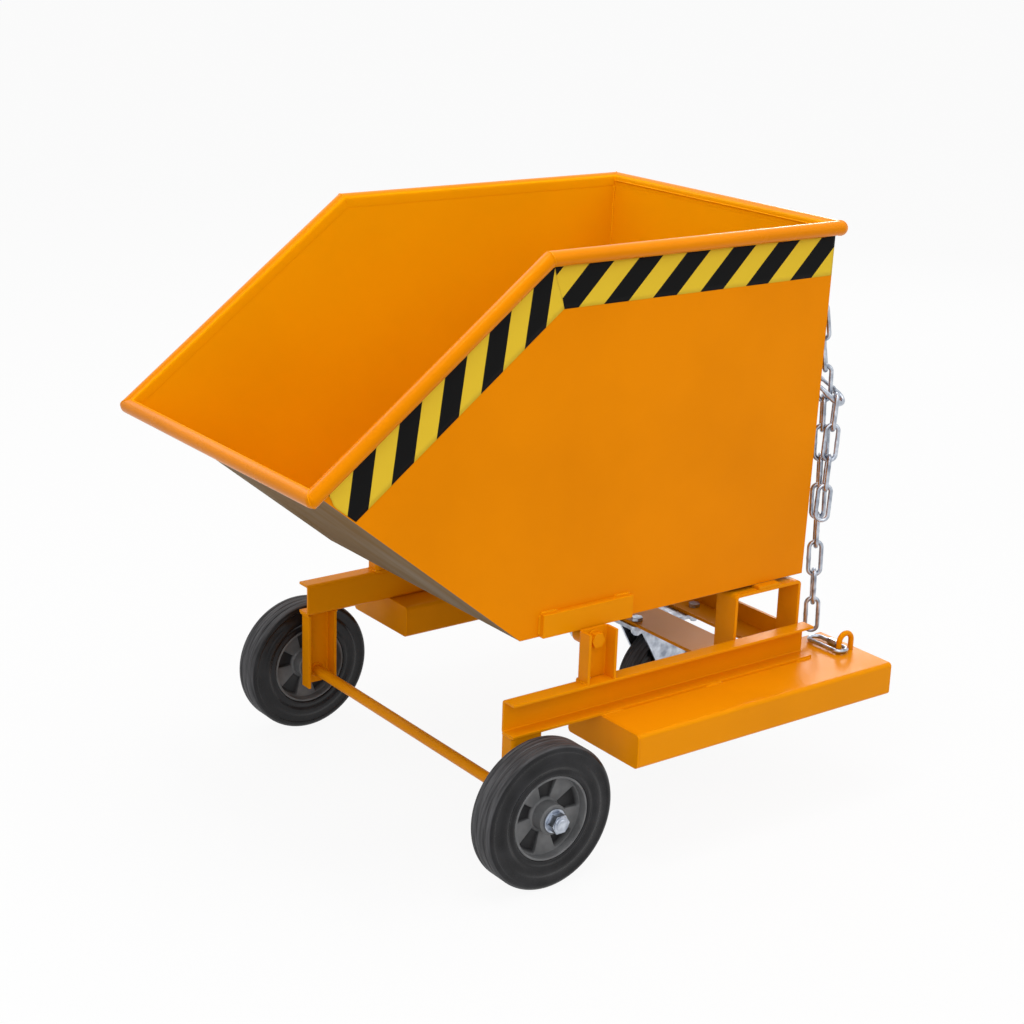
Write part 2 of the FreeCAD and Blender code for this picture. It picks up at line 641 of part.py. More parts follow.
def make_wheel_post(side, sign):
    """Hanging channel under the front end that carries the axle, web outwards."""
    back = "Places.axle_x - Sizes.post_width / 2"
    front = "Places.axle_x + Sizes.post_width / 2"
    section = channel_corners(sign, "-Places.post_out_y", "Sizes.post_depth", "Sizes.channel_wall",
                              back, front)
    corners = [(along, f"-1 * ({across})") for across, along in section]
    body = extrusion("WheelPost", "XY_Plane", [corners], "Places.channel_z - Sizes.wheel_post_clearance")
    bind(body, at_z="Sizes.wheel_post_clearance")
    round_edges(body, "Z", [corners[0], corners[7]], "Sizes.channel_bend")
    round_edges(body, "Z", [corners[3], corners[4]], "Sizes.channel_bend - Sizes.channel_wall")
    drill(body, "XZ_Plane", "Places.axle_x", "Places.axle_z - Sizes.wheel_post_clearance",
          "Sizes.axle_dia / 2 + Sizes.weld_gap")
    keep(body, f"wheel_post_{side}")


def rectangle(mid_u, mid_v, width, height):
    """Corners of a rectangle about its middle."""
    return [(f"{mid_u} + {i} * ({width}) / 2", f"{mid_v} + {j} * ({height}) / 2")
            for i, j in ((-1, -1), (1, -1), (1, 1), (-1, 1))]


def make_pockets():
    """Fork pockets: box sections open at the tail, with a plate welded over the front."""
    wall = "Sizes.pocket_wall"
    caps = []
    for side, sign in SIDES.items():
        mid = (f"{sign} * Places.pocket_mid_y", "Places.pocket_mid_z")
        outer = rectangle(*mid, "Sizes.pocket_width", "Sizes.pocket_height")
        inner = rectangle(*mid, f"Sizes.pocket_width - 2 * {wall}", f"Sizes.pocket_height - 2 * {wall}")
        length = f"Places.pocket_reach - Sizes.pocket_front_setback - {wall}"
        body = extrusion("ForkPocket", "YZ_Plane", [outer, inner], length)
        bind(body, at_x="Places.pocket_tail_x")
        round_edges(body, "X", outer, "Sizes.pocket_corner")
        keep(body, f"fork_pocket_{side}")
        cap = extrusion("PocketCap", "YZ_Plane", [outer], wall)
        bind(cap, at_x=f"Places.pocket_front_x - {wall}")
        round_edges(cap, "X", outer, "Sizes.pocket_corner")
        caps.append(cap)
    group("pocket_front_plates", caps)


def make_members():
    """Front cross bar and rear cross angle, between the channels, over the castor plate."""
    span = "2 * Places.web_y"
    bar = box("FrontBar", "Places.front_bar_x", "-Places.web_y", "Places.member_z",
              "Sizes.front_bar_width", span, "Sizes.member_thick")
    keep(bolted_through(bar, "front_cross_bar", 1), "front_cross_bar")
    low = "Places.member_z"
    top = "Places.member_top"
    tail = "Places.tail_x"
    stand = "Places.tail_x + Sizes.member_thick"
    lead = "Places.tail_x + Sizes.rear_angle_leg"
    crest = "Places.member_z + Sizes.rear_angle_rise"
    corners = [(tail, low), (lead, low), (lead, top), (stand, top), (stand, crest), (tail, crest)]
    angle = extrusion("RearAngle", "XZ_Plane", [corners], span, True)
    round_edges(angle, "Y", [corners[3]], "Sizes.edge_round")
    keep(bolted_through(angle, "rear_cross_angle", -1), "rear_cross_angle")


def castor_bolt_spots(along):
    """Places of the two castor bolts ahead of the swivel axis (1) or behind it (-1)."""
    x = f"Places.castor_x + {along} * Sizes.castor_bolt_length / 2"
    return [(x, f"{sign} * Sizes.castor_bolt_width / 2") for sign in SIDES.values()]


def bolted_through(base, name, along):
    """Cross member with the holes of its two castor bolts."""
    for number, (x, y) in enumerate(castor_bolt_spots(along)):
        hole = rod_z(f"{name}_hole", x, y, "Places.plate_z",
                     "Sizes.castor_bolt_dia / 2 + Sizes.bolt_hole_play",
                     "Places.member_top - Places.plate_z + Sizes.member_thick")
        base = cut(f"{name}_cut{number}", base, hole)
    return base


def make_rests():
    """Bent flat bars that hold up the skip's tail, with a pad on each."""
    thick = "Sizes.rest_thick"
    front = "Places.rest_front_x"
    back = "Places.rest_back_x"
    foot = "Places.member_top"
    top = "Places.rest_top"
    corners = [(back, foot), (back, top), (front, top), (front, foot),
               (f"{front} - {thick}", foot), (f"{front} - {thick}", f"{top} - {thick}"),
               (f"{back} + {thick}", f"{top} - {thick}"), (f"{back} + {thick}", foot)]
    pads = []
    for side, sign in SIDES.items():
        body = extrusion("RearRest", "XZ_Plane", [corners], "Sizes.rest_width")
        outer_y = "Places.web_y" if sign > 0 else "Sizes.rest_width - Places.web_y"
        bind(body, at_y=outer_y)
        round_edges(body, "Y", corners[1:3], "Sizes.rest_bend")
        round_edges(body, "Y", corners[5:7], "Sizes.rest_bend - Sizes.rest_thick")
        keep(body, f"rear_rest_{side}")
        pads.append(box("RestPad", "Places.rest_front_x - (Sizes.rest_length + Sizes.pad_length) / 2",
                        lower(sign, "Places.web_y - Sizes.rest_width", "Sizes.rest_width"),
                        top, "Sizes.pad_length", "Sizes.rest_width", "Sizes.pad_thick"))
    group("rest_pads", pads)


def make_pivots():
    """Pivot bolts from outside the posts, with their washers and lock nuts."""
    x, z = "Places.pivot_x", "Places.pivot_z"
    shank = "Sizes.pivot_bolt_dia / 2"
    nut_face = "Places.sleeve_in_y - Sizes.end_play"
    head_face = "Places.bolt_seat_y + Sizes.washer_thick"
    end = f"{nut_face} - Sizes.pivot_nut - Sizes.thread_out"
    bolts, washers, nuts = [], [], []
    for side, sign in SIDES.items():
        head = hex_y("PivotHead", x, lower(sign, head_face, "Sizes.pivot_head"), z,
                     "Sizes.pivot_flats", "Sizes.pivot_head")
        run = f"{head_face} - ({end})"
        bolts.append(fuse("PivotBolt", head, rod_y("PivotShank", x, lower(sign, end, run), z, shank, run)))
        washers.append(ring_y(f"PivotWasher_{side}", x,
                              lower(sign, "Places.bolt_seat_y", "Sizes.washer_thick"), z,
                              "Sizes.pivot_washer_dia / 2", f"{shank} + Sizes.bolt_hole_play",
                              "Sizes.washer_thick"))
        low = lower(sign, f"{nut_face} - Sizes.pivot_nut", "Sizes.pivot_nut")
        blank = hex_y("PivotNutBlank", x, low, z, "Sizes.pivot_flats", "Sizes.pivot_nut")
        thread = rod_y("PivotNutBore", x, low, z, f"{shank} + Sizes.weld_gap", "Sizes.pivot_nut")
        nuts.append(cut("PivotNut", blank, thread))
    group("pivot_bolts", bolts)
    group("pivot_washers", washers)
    group("pivot_nuts", nuts)


# The front wheels
def make_axle():
    """Axle bar through both wheel posts, with spacers, washers and lock nuts."""
    x, z = "Places.axle_x", "Places.axle_z"
    bar = rod_y("AxleBar", x, "-Places.axle_end_y", z, "Sizes.axle_dia / 2", "2 * Places.axle_end_y")
    keep(bar, "axle_bar")
    bore = "Sizes.axle_dia / 2 + Sizes.weld_gap"
    spacers, washers, nuts = [], [], []
    gap = "Places.wheel_in_y - Sizes.end_play - Places.post_out_y"
    seat = "Places.wheel_out_y + Sizes.end_play"
    for side, sign in SIDES.items():
        spacers.append(ring_y(f"AxleSpacer_{side}", x, lower(sign, "Places.post_out_y", gap), z,
                              "Sizes.axle_dia / 2 + Sizes.spacer_wall", bore, gap))
        washers.append(ring_y(f"AxleWasher_{side}", x, lower(sign, seat, "Sizes.washer_thick"), z,
                              "Sizes.axle_washer_dia / 2", bore, "Sizes.washer_thick"))
        low = lower(sign, f"{seat} + Sizes.washer_thick", "Sizes.axle_nut_height")
        blank = hex_y("AxleNutBlank", x, low, z, "Sizes.axle_nut_flats", "Sizes.axle_nut_height")
        nuts.append(cut("AxleNut", blank, rod_y("AxleNutBore", x, low, z, bore, "Sizes.axle_nut_height")))
    group("axle_spacers", spacers)
    group("axle_washers", washers)
    group("axle_nuts", nuts)


def revolve(body, corners):
    """Solid turned about the body's Y axis from corners of (along Y, radius)."""
    sketch = sketch_on(body, "YZ_Plane")
    draw_polygon(sketch, corners)
    turned = body.newObject("PartDesign::Revolution", "Turned")
    turned.Profile = sketch
    turned.ReferenceAxis = (sketch, ["H_Axis"])
    turned.Angle = 360
    sketch.Visibility = False
    return turned


def make_tyre(name, dia, width, shoulder, seat):
    """Solid tyre with rounded shoulders."""
    body = new_body(name)
    outer = f"{dia} / 2"
    inner = f"{seat} / 2"
    half = f"{width} / 2"
    revolve(body, [(f"-{half}", inner), (half, inner), (half, f"{outer} - {shoulder}"),
                   (f"{half} - {shoulder}", outer), (f"{shoulder} - {half}", outer),
                   (f"-{half}", f"{outer} - {shoulder}")])
    return body


def make_rim_body(name, seat, barrel, width, web, hub_dia, hub_length, bore):
    """Wheel rim: hub, web and barrel turned in one."""
    body = new_body(name)
    out_r, in_r, hub_r = f"{seat} / 2", f"{seat} / 2 - {barrel}", f"{hub_dia} / 2"
    right = [(f"{hub_length} / 2", bore), (f"{hub_length} / 2", hub_r), (f"{web} / 2", hub_r),
             (f"{web} / 2", in_r), (f"{width} / 2", in_r), (f"{width} / 2", out_r)]
    revolve(body, right + [(f"-({u})", v) for u, v in reversed(right)])
    return body


def cut_spoke_pockets(body):
    """Wedge-shaped pockets in both faces of a front rim, between its spokes, over a thin disc."""
    inner = "(Sizes.hub_dia / 2 + Sizes.pocket_margin)"
    outer = "(Sizes.rim_dia / 2 - Sizes.rim_seat - Sizes.pocket_margin)"
    sketch = sketch_on(body, "XZ_Plane")
    draw_polygon(sketch, [(f"{sign} * {r} * sin({SPOKE_POCKET_ANGLE})", f"{r} * cos({SPOKE_POCKET_ANGLE})")
                          for r, sign in ((inner, -1), (outer, -1), (outer, 1), (inner, 1))])
    pocket = body.newObject("PartDesign::Pocket", "SpokePocket")
    pocket.Profile = sketch
    pocket.Type = "ThroughAll"
    pocket.SideType = "Symmetric"
    sketch.Visibility = False
    pattern = body.newObject("PartDesign::PolarPattern", "SpokePockets")
    pattern.Originals = [pocket]
    pattern.Axis = (plane(body, "Y_Axis"), [""])
    pattern.Angle = 360
    pattern.Occurrences = SPOKES
    body.Tip = pattern
    disc = sketch_on(body, "XZ_Plane")
    for radius in ("Sizes.hub_dia / 2", "Sizes.rim_dia / 2 - Sizes.rim_seat"):
        draw_circle(disc, "0", "0", radius)
    pad(body, disc, "Sizes.rim_floor", True)


def make_front_wheels():
    """Tyre, spoked rim and bush of each front wheel."""
    for side, sign in SIDES.items():
        tyre = make_tyre("FrontTyre", "Sizes.wheel_dia", "Sizes.wheel_width", "Sizes.tyre_shoulder",
                         "Sizes.rim_dia")
        rim = make_rim_body("FrontRim", "Sizes.rim_dia", "Sizes.rim_seat", "Sizes.rim_width",
                            "Sizes.rim_web", "Sizes.hub_dia", "Sizes.hub_length", "Places.bush_out_r")
        cut_spoke_pockets(rim)
        for part, label in ((tyre, f"front_tyre_{side}"), (rim, f"front_rim_{side}")):
            if sign < 0:
                part.Placement.Rotation = TURN_ROUND
            bind(part, at_x="Places.axle_x", at_y=f"{sign} * Places.wheel_y", at_z="Places.axle_z")
            keep(part, label)
        bush = ring_y(f"FrontBush_{side}", "Places.axle_x",
                      lower(sign, "Places.wheel_in_y", "Sizes.hub_length"), "Places.axle_z",
                      "Places.bush_out_r", "Places.bush_r", "Sizes.hub_length")
        keep(bush, f"front_bush_{side}")


# The castor
def make_castor_top():
    """Castor plate with its bolts, the swivel ring and the kingpin."""
    x = "Places.castor_x"
    corners = rectangle(x, "0", "Sizes.castor_plate_length", "Sizes.castor_plate_width")
    body = extrusion("CastorPlate", "XY_Plane", [corners], "Sizes.castor_plate_thick")
    bind(body, at_z="Places.plate_z")
    round_edges(body, "Z", corners, "Sizes.castor_plate_corner")
    bolts, nuts = [], []
    shank = "Sizes.castor_bolt_dia / 2"
    for spot in castor_bolt_spots(1) + castor_bolt_spots(-1):
        drill(body, "XY_Plane", *spot, f"{shank} + Sizes.bolt_hole_play")
        foot = "Places.plate_z - Sizes.castor_nut - Sizes.thread_out"
        head = hex_z("CastorBoltHead", *spot, "Places.member_top", "Sizes.castor_bolt_flats",
                     "Sizes.castor_bolt_head")
        bolts.append(fuse("CastorBolt", head, rod_z("CastorBoltShank", *spot, foot, shank,
                                                    f"Places.member_top - ({foot})")))
        low = "Places.plate_z - Sizes.castor_nut"
        blank = hex_z("CastorNutBlank", *spot, low, "Sizes.castor_bolt_flats", "Sizes.castor_nut")
        thread = rod_z("CastorNutBore", *spot, low, f"{shank} + Sizes.weld_gap", "Sizes.castor_nut")
        nuts.append(cut("CastorNut", blank, thread))
    kingpin_hole = "Sizes.kingpin_dia / 2 + Sizes.weld_gap"
    drill(body, "XY_Plane", x, "0", kingpin_hole)
    keep(body, "castor_plate")
    group("castor_bolts", bolts)
    group("castor_nuts", nuts)
    ring = rod_z("SwivelRingBlank", x, "0", "Places.ring_z", "Sizes.swivel_ring_dia / 2",
                 "Sizes.swivel_ring_height")
    bore = rod_z("SwivelRingBore", x, "0", "Places.ring_z", kingpin_hole, "Sizes.swivel_ring_height")
    keep(cut("SwivelRing", ring, bore), "castor_swivel_ring")
    head_z = "Places.crown_z - Sizes.rest_gap - Sizes.kingpin_head"
    shank = rod_z("KingpinShank", x, "0", head_z, "Sizes.kingpin_dia / 2", f"Places.member_z - ({head_z})")
    head = rod_z("KingpinHead", x, "0", head_z, "Sizes.kingpin_head_dia / 2", "Sizes.kingpin_head")
    keep(fuse("Kingpin", shank, head), "castor_kingpin")


def make_fork():
    """Castor fork: a crown plate and two legs that trail back to the wheel's bolt."""
    front = "Places.castor_x + Sizes.crown_front"
    back = "Places.castor_x - Sizes.crown_back"
    foot = "Sizes.fork_foot"
    axle_x, axle_z = "Places.castor_axle_x", "Places.castor_axle_z"
    low, top = "Places.crown_z", "Places.crown_z + Sizes.crown_thick"
    leg = [(front, top), (front, low), (f"{axle_x} + {foot}", axle_z),
           (f"{axle_x} + {foot}", f"{axle_z} - {foot}"), (f"{axle_x} - {foot}", f"{axle_z} - {foot}"),
           (f"{axle_x} - {foot}", axle_z), (back, low), (back, top)]
    body = extrusion("CastorFork", "XZ_Plane", [leg], "Sizes.fork_gap + 2 * Sizes.fork_leg", True)
    round_edges(body, "Y", leg[3:5], f"{foot} - Sizes.weld_gap")
    room = sketch_on(body, "YZ_Plane")
    half = "Sizes.fork_gap / 2"
    draw_polygon(room, [(f"-{half}", "0"), (half, "0"), (half, low), (f"-{half}", low)])
    hollow = body.newObject("PartDesign::Pocket", "WheelRoom")
    hollow.Profile = room
    hollow.Type = "ThroughAll"
    hollow.SideType = "Symmetric"
    room.Visibility = False
    drill(body, "XZ_Plane", axle_x, axle_z, "Sizes.castor_axle_dia / 2 + Sizes.weld_gap")
    drill(body, "XY_Plane", "Places.castor_x", "0", "Sizes.kingpin_dia / 2 + Sizes.pivot_play")
    keep(body, "castor_fork")


def make_castor_wheel():
    """Castor wheel with its bush, bolt and nut."""
    x, z = "Places.castor_axle_x", "Places.castor_axle_z"
    tyre = make_tyre("CastorTyre", "Sizes.castor_wheel_dia", "Sizes.castor_wheel_width",
                     "Sizes.castor_shoulder", "Sizes.castor_rim_dia")
    rim = make_rim_body("CastorRim", "Sizes.castor_rim_dia", "Sizes.castor_rim_seat", "Sizes.castor_rim_width",
                        "Sizes.castor_rim_web", "Sizes.castor_hub_dia", "Places.castor_hub",
                        "Places.castor_bush_out_r")
    for part, label in ((tyre, "castor_tyre"), (rim, "castor_rim")):
        keep(bind(part, at_x=x, at_z=z), label)
    keep(ring_y("CastorBush", x, "-Places.castor_hub / 2", z, "Places.castor_bush_out_r",
                "Places.castor_bush_r", "Places.castor_hub"), "castor_bush")
    half = "Sizes.fork_gap / 2 + Sizes.fork_leg"
    shank = rod_y("CastorAxleShank", x, f"-({half}) - Sizes.castor_nut - Sizes.thread_out", z,
                  "Sizes.castor_axle_dia / 2", f"2 * ({half}) + Sizes.castor_nut + Sizes.thread_out")
    head = hex_y("CastorAxleHead", x, half, z, "Sizes.castor_bolt_flats", "Sizes.castor_bolt_head")
    keep(fuse("CastorAxle", head, shank), "castor_axle_bolt")
    low = f"-({half}) - Sizes.castor_nut"
    blank = hex_y("CastorAxleNutBlank", x, low, z, "Sizes.castor_bolt_flats", "Sizes.castor_nut")
    bore = rod_y("CastorAxleNutBore", x, low, z, "Sizes.castor_axle_dia / 2 + Sizes.weld_gap",
                 "Sizes.castor_nut")
    keep(cut("CastorAxleNut", blank, bore), "castor_axle_nut")


# The lock chain
def bar_between(start, end, radius):
    """Round bar between two points."""
    return Part.makeCylinder(radius, (end - start).Length, start, end - start)


def half_ring(centre, outward, normal, bend, radius):
    """Half of a ring of round wire, bulging outward from its centre, in the plane of the normal."""
    ring = Part.makeTorus(bend, radius)
    half = Part.makeBox(2 * (bend + radius), 4 * (bend + radius), 2 * radius,
                        FreeCAD.Vector(0, -2 * (bend + radius), -radius))
    across = normal.cross(outward)
    turn = FreeCAD.Rotation(outward, across, normal, "XZY")
    shape = ring.common(half)
    shape.Placement = FreeCAD.Placement(centre, turn)
    return shape


def wire_loop(centre, along, normal, straight, bend, radius, gap=None):
    """Closed long ring of round wire; gap leaves out a middle length of the second side."""
    across = normal.cross(along)
    ends = [centre + along * (straight / 2), centre - along * (straight / 2)]
    pieces = [half_ring(ends[0], along, normal, bend, radius),
              half_ring(ends[1], along * -1, normal, bend, radius),
              bar_between(ends[0] + across * bend, ends[1] + across * bend, radius)]
    lows = [ends[0] - across * bend, ends[1] - across * bend]
    if gap is None:
        pieces.append(bar_between(*lows, radius))
    else:
        middle = (lows[0] + lows[1]) * 0.5
        for low, sign in zip(lows, (1, -1)):
            pieces.append(bar_between(low, middle + along * (sign * gap / 2), radius))
    return pieces[0].multiFuse(pieces[1:]).removeSplitter()


def link_strand(top, foot_way, turns):
    """Links that hang one from another along a straight line, each turned about it by its angle."""
    wire = value("Sizes.chain_wire") / 2
    bend = value("Sizes.chain_gap") / 2 + wire
    straight = value("Sizes.chain_pitch - Sizes.chain_gap")
    step = value("Places.chain_step")
    way = FreeCAD.Vector(foot_way).normalize()
    links = []
    for i, turn in enumerate(turns):
        facing = FreeCAD.Rotation(Z_AXIS, turn).multVec(X_AXIS)
        normal = (facing - way * facing.dot(way)).normalize()
        links.append(wire_loop(top + way * (step * i), way, normal, straight, bend, wire))
    return links


def feature(label, shape):
    """Node whose shape is made of wire."""
    obj = doc.addObject("Part::Feature", label)
    obj.Shape = shape
    return keep(obj, label)


X_AXIS = FreeCAD.Vector(1, 0, 0)
Y_AXIS = FreeCAD.Vector(0, 1, 0)
Z_AXIS = FreeCAD.Vector(0, 0, 1)


def make_lock_chain():
    """Anchor eye on the rear wall, the hanging chain, its snap hook and the loose tail."""
    wire = value("Sizes.chain_wire") / 2
    side = value("Places.anchor_y")
    rise = value("Sizes.anchor_height")
    wall_x = value("Places.anchor_wall_x")
    low = FreeCAD.Vector(wall_x, side, value("Places.anchor_z"))
    high_wall_x = wall_x - rise * value("tan(Places.lean)")
    bend_x = wall_x - value("Sizes.anchor_leg") - wire
    ends = [FreeCAD.Vector(bend_x, side, low.z + lift) for lift in (0, rise)]
    starts = [low, FreeCAD.Vector(high_wall_x, side, low.z + rise)]
    legs = [bar_between(start, end, wire) for start, end in zip(starts, ends)]
    bow = half_ring((ends[0] + ends[1]) * 0.5, X_AXIS * -1, Y_AXIS, rise / 2, wire)
    anchor = bow.multiFuse(legs)
    reach = rise + value("Sizes.anchor_leg") * 4
    wall = half_space(low, X_AXIS * value("cos(Places.lean)") + Z_AXIS * value("sin(Places.lean)"), reach)
    feature("chain_anchor", anchor.cut(wall).removeSplitter())

    count = int(value("Sizes.chain_count"))
    held = int(value("Sizes.hook_link"))
    step = value("Places.chain_step")
    lean = value("Sizes.chain_lean") / (count - 1)
    upper_way = FreeCAD.Vector(-lean * held, value("Places.chain_y") - side, -step * held).normalize()
    lower_way = FreeCAD.Vector(-lean, 0, -step).normalize()
    top = FreeCAD.Vector(value("Places.chain_top_x"), side, low.z) + upper_way * value("Places.chain_hang")
    grip = top + upper_way * (step * (held - 1 / 2)) + lower_way * (step / 2)
    turns = [value("Sizes.chain_turn") * min(i / held, 1) + 90 * (i % 2) for i in range(count)]
    links = link_strand(top, upper_way, turns[:held]) + link_strand(grip, lower_way, turns[held:])
    feature("lock_chain", Part.makeCompound(links))
    make_hook(grip - Z_AXIS * value("Sizes.hook_drop"))


def make_hook(grip):
    """Snap hook clipped round the chain, its gate, and the tail that hangs from it."""
    wire = value("Sizes.chain_wire") / 2
    bend = value("Sizes.hook_width") / 2
    straight = value("Sizes.hook_length")
    turn = FreeCAD.Rotation(Z_AXIS, value("Sizes.hook_heading"))
    turn = turn.multiply(FreeCAD.Rotation(Y_AXIS, value("Sizes.hook_fall")))
    turn = turn.multiply(FreeCAD.Rotation(X_AXIS, value("Sizes.hook_roll")))
    along = turn.multVec(X_AXIS)
    across = turn.multVec(Y_AXIS * -1)
    normal = along.cross(across)
    centre = grip + along * (straight / 2 - value("Sizes.hook_grip"))
    opening = straight * value("Sizes.gate_share")
    play = value("Sizes.end_play")
    feature("snap_hook", wire_loop(centre, along, normal, straight, bend, wire, opening + 2 * play))
    gate_middle = centre - across * bend
    knuckle = gate_middle + along * ((opening - value("Sizes.gate_knuckle")) / 2)
    pin = normal * (value("Sizes.gate_knuckle_length") / 2)
    gate = bar_between(gate_middle - along * (opening / 2), knuckle, value("Sizes.gate_wire") / 2)
    turning = bar_between(knuckle - pin, knuckle + pin, value("Sizes.gate_knuckle") / 2)
    feature("snap_hook_gate", gate.fuse(turning).removeSplitter())

    count = int(value("Sizes.tail_count"))
    hang = centre + across * bend + along * value("Sizes.tail_seat")
    top = hang + Z_AXIS * (wire + value("Sizes.tail_lift") - value("Sizes.chain_pitch") / 2)
    way = FreeCAD.Vector(value("Sizes.tail_lean_x"), value("Sizes.tail_lean_y"),
                         -value("Places.chain_step") * (count - 1))
    turns = [value("Sizes.tail_turn") + 90 * i for i in range(count)]
    feature("chain_tail", Part.makeCompound(link_strand(top, way, turns)))


def make_chain_eye():
    """Eye welded on the left pocket, and the quick link that lies on the pocket through it."""
    radius = value("Sizes.eye_wire") / 2
    span = value("Sizes.eye_span")
    pocket_top = value("Places.channel_z")
    spring_z = pocket_top + value("Sizes.eye_height") - radius - span / 2
    front = FreeCAD.Vector(value("Places.eye_x"), value("Places.eye_y"), pocket_top)
    feet = [front, front - X_AXIS * span]
    knees = [FreeCAD.Vector(foot.x, foot.y, spring_z) for foot in feet]
    bow = half_ring((knees[0] + knees[1]) * 0.5, Z_AXIS, Y_AXIS, span / 2, radius)
    legs = [bar_between(foot, knee, radius) for foot, knee in zip(feet, knees)]
    feature("chain_eye", bow.multiFuse(legs).removeSplitter())

    bend = value("Sizes.quick_width") / 2
    straight = value("Sizes.quick_length")
    outer_end = FreeCAD.Vector(front.x, front.y, value("Places.quick_z"))
    centre = outer_end - Y_AXIS * (straight / 2)
    gap = value("Sizes.quick_gap")
    wire = value("Sizes.quick_wire") / 2
    feature("quick_link", wire_loop(centre, Y_AXIS * -1, Z_AXIS, straight, bend, wire, gap))
    length = value("Sizes.quick_nut_length")
    flats = value("Sizes.quick_nut_flats")
    across = Z_AXIS.cross(Y_AXIS * -1)
    middle = centre - across * bend
    corner = flats / 2 / value("cos(30)")
    ring = [FreeCAD.Vector(corner * value(f"sin({60 * i})"), 0, corner * value(f"cos({60 * i})"))
            for i in range(7)]
    flat_turn = FreeCAD.Rotation(Y_AXIS, 30)
    face = Part.Face(Part.makePolygon([middle - Y_AXIS * (length / 2) + flat_turn.multVec(p) for p in ring]))
    thread = bar_between(middle - Y_AXIS * length, middle + Y_AXIS * length, wire + value("Sizes.weld_gap"))
    feature("quick_link_nut", face.extrude(Y_AXIS * length).cut(thread))


def check_and_write():
    """Stop if a shape failed, then write one STEP file for each node."""
    doc.recompute()
    for obj in doc.Objects:
        if "Invalid" in obj.State or "Error" in obj.State:
            raise RuntimeError(f"{obj.Label} failed: {obj.State}")
    for label, obj in nodes.items():
        if obj.Shape.isNull() or not obj.Shape.isValid() or not obj.Shape.Solids:
            raise RuntimeError(f"{label} has no valid solid")
    os.makedirs("parts", exist_ok=True)
    for label, obj in nodes.items():
        obj.Shape.exportStep(f"parts/{label}.step")
    print(f"{len(nodes)} nodes written")


make_wrap()
make_side_panels()
make_rim()
make_bearings()
make_channels()
make_pockets()
make_members()
make_rests()
make_pivots()
make_axle()
make_front_wheels()
make_castor_top()
make_fork()
make_castor_wheel()
make_lock_chain()
make_chain_eye()
check_and_write()
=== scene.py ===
"""Looks of a tipping skip trolley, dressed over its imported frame, in metres."""

import logging
import math
from dataclasses import dataclass
from enum import Enum

import bpy
import numpy as np
from mathutils import Matrix, Vector


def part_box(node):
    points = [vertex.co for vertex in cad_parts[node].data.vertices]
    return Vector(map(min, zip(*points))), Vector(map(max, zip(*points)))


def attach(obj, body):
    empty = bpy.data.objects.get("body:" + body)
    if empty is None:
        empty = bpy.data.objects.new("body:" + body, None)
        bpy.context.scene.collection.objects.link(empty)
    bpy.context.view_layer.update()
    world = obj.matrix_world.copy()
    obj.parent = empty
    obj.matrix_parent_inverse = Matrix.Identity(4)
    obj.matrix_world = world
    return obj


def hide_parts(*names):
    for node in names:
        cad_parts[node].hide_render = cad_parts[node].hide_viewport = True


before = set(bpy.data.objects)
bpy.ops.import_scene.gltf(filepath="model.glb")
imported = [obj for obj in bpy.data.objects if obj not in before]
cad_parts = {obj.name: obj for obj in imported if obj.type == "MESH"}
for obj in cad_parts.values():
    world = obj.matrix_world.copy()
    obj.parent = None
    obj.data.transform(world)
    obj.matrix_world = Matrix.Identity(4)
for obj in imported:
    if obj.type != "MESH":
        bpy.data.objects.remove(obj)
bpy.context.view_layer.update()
Array = np.ndarray
Colour = tuple[float, float, float]
Point = tuple[float, float, float]
Pair = tuple[float, float]
Tones = tuple[Colour, Colour]
Names = tuple[str, ...]
Socket = bpy.types.NodeSocket
X_AXIS, Y_AXIS, Z_AXIS = np.eye(3)
MIRROR = np.array([1.0, -1.0, 1.0])
BOW_POINTS, SIDE_POINTS, LEG_POINTS = 19, 11, 7
log = logging.getLogger("skip_trolley")


class Slot(Enum):
    """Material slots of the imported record."""

    PAINT = "orange_paint"
    ZINC = "zinc_plate"
    RUBBER = "tyre_rubber"
    PLASTIC = "wheel_plastic"
    STEEL = "bush_steel"


class Side(Enum):
    """Sides of the trolley; the value is the sign of Y."""

    LEFT = 1
    RIGHT = -1

    @property
    def word(self) -> str:
        """Ending of the side's node names."""
        return self.name.lower()


def unit(vectors: Array | Point) -> Array:
    """Vectors scaled to length one along their last axis."""
    return np.asarray(vectors) / np.linalg.norm(vectors, axis=-1, keepdims=True)


def around(count: int) -> Array:
    """Angles evenly round a circle."""
    return np.linspace(0.0, 2.0 * np.pi, count, endpoint=False)


def about_y(radius: Array | float, along: Array | float, turn: Array, centre: Array) -> Array:
    """Points at angles about the Y axis through a centre, by their radius and place along it."""
    return centre + np.stack([radius * np.cos(turn), along + 0.0 * turn, radius * np.sin(turn)], axis=-1)


def swung(first: Array, second: Array, angle: float) -> tuple[Array, Array]:
    """Two square vectors turned in their plane, the first towards the second."""
    c, s = math.cos(angle), math.sin(angle)
    return first * c + second * s, second * c - first * s


def middle_and_half(node: str) -> tuple[Array, Array]:
    """Middle of a CAD node's box and half of its size."""
    low, high = (np.array(corner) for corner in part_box(node))
    return (low + high) / 2.0, (high - low) / 2.0


def smooth_step(value: Array, low: float, high: float) -> Array:
    """Zero below low, one above high, and a cubic ease between them."""
    share = np.clip((value - low) / (high - low), 0.0, 1.0)
    return share * share * (3.0 - 2.0 * share)


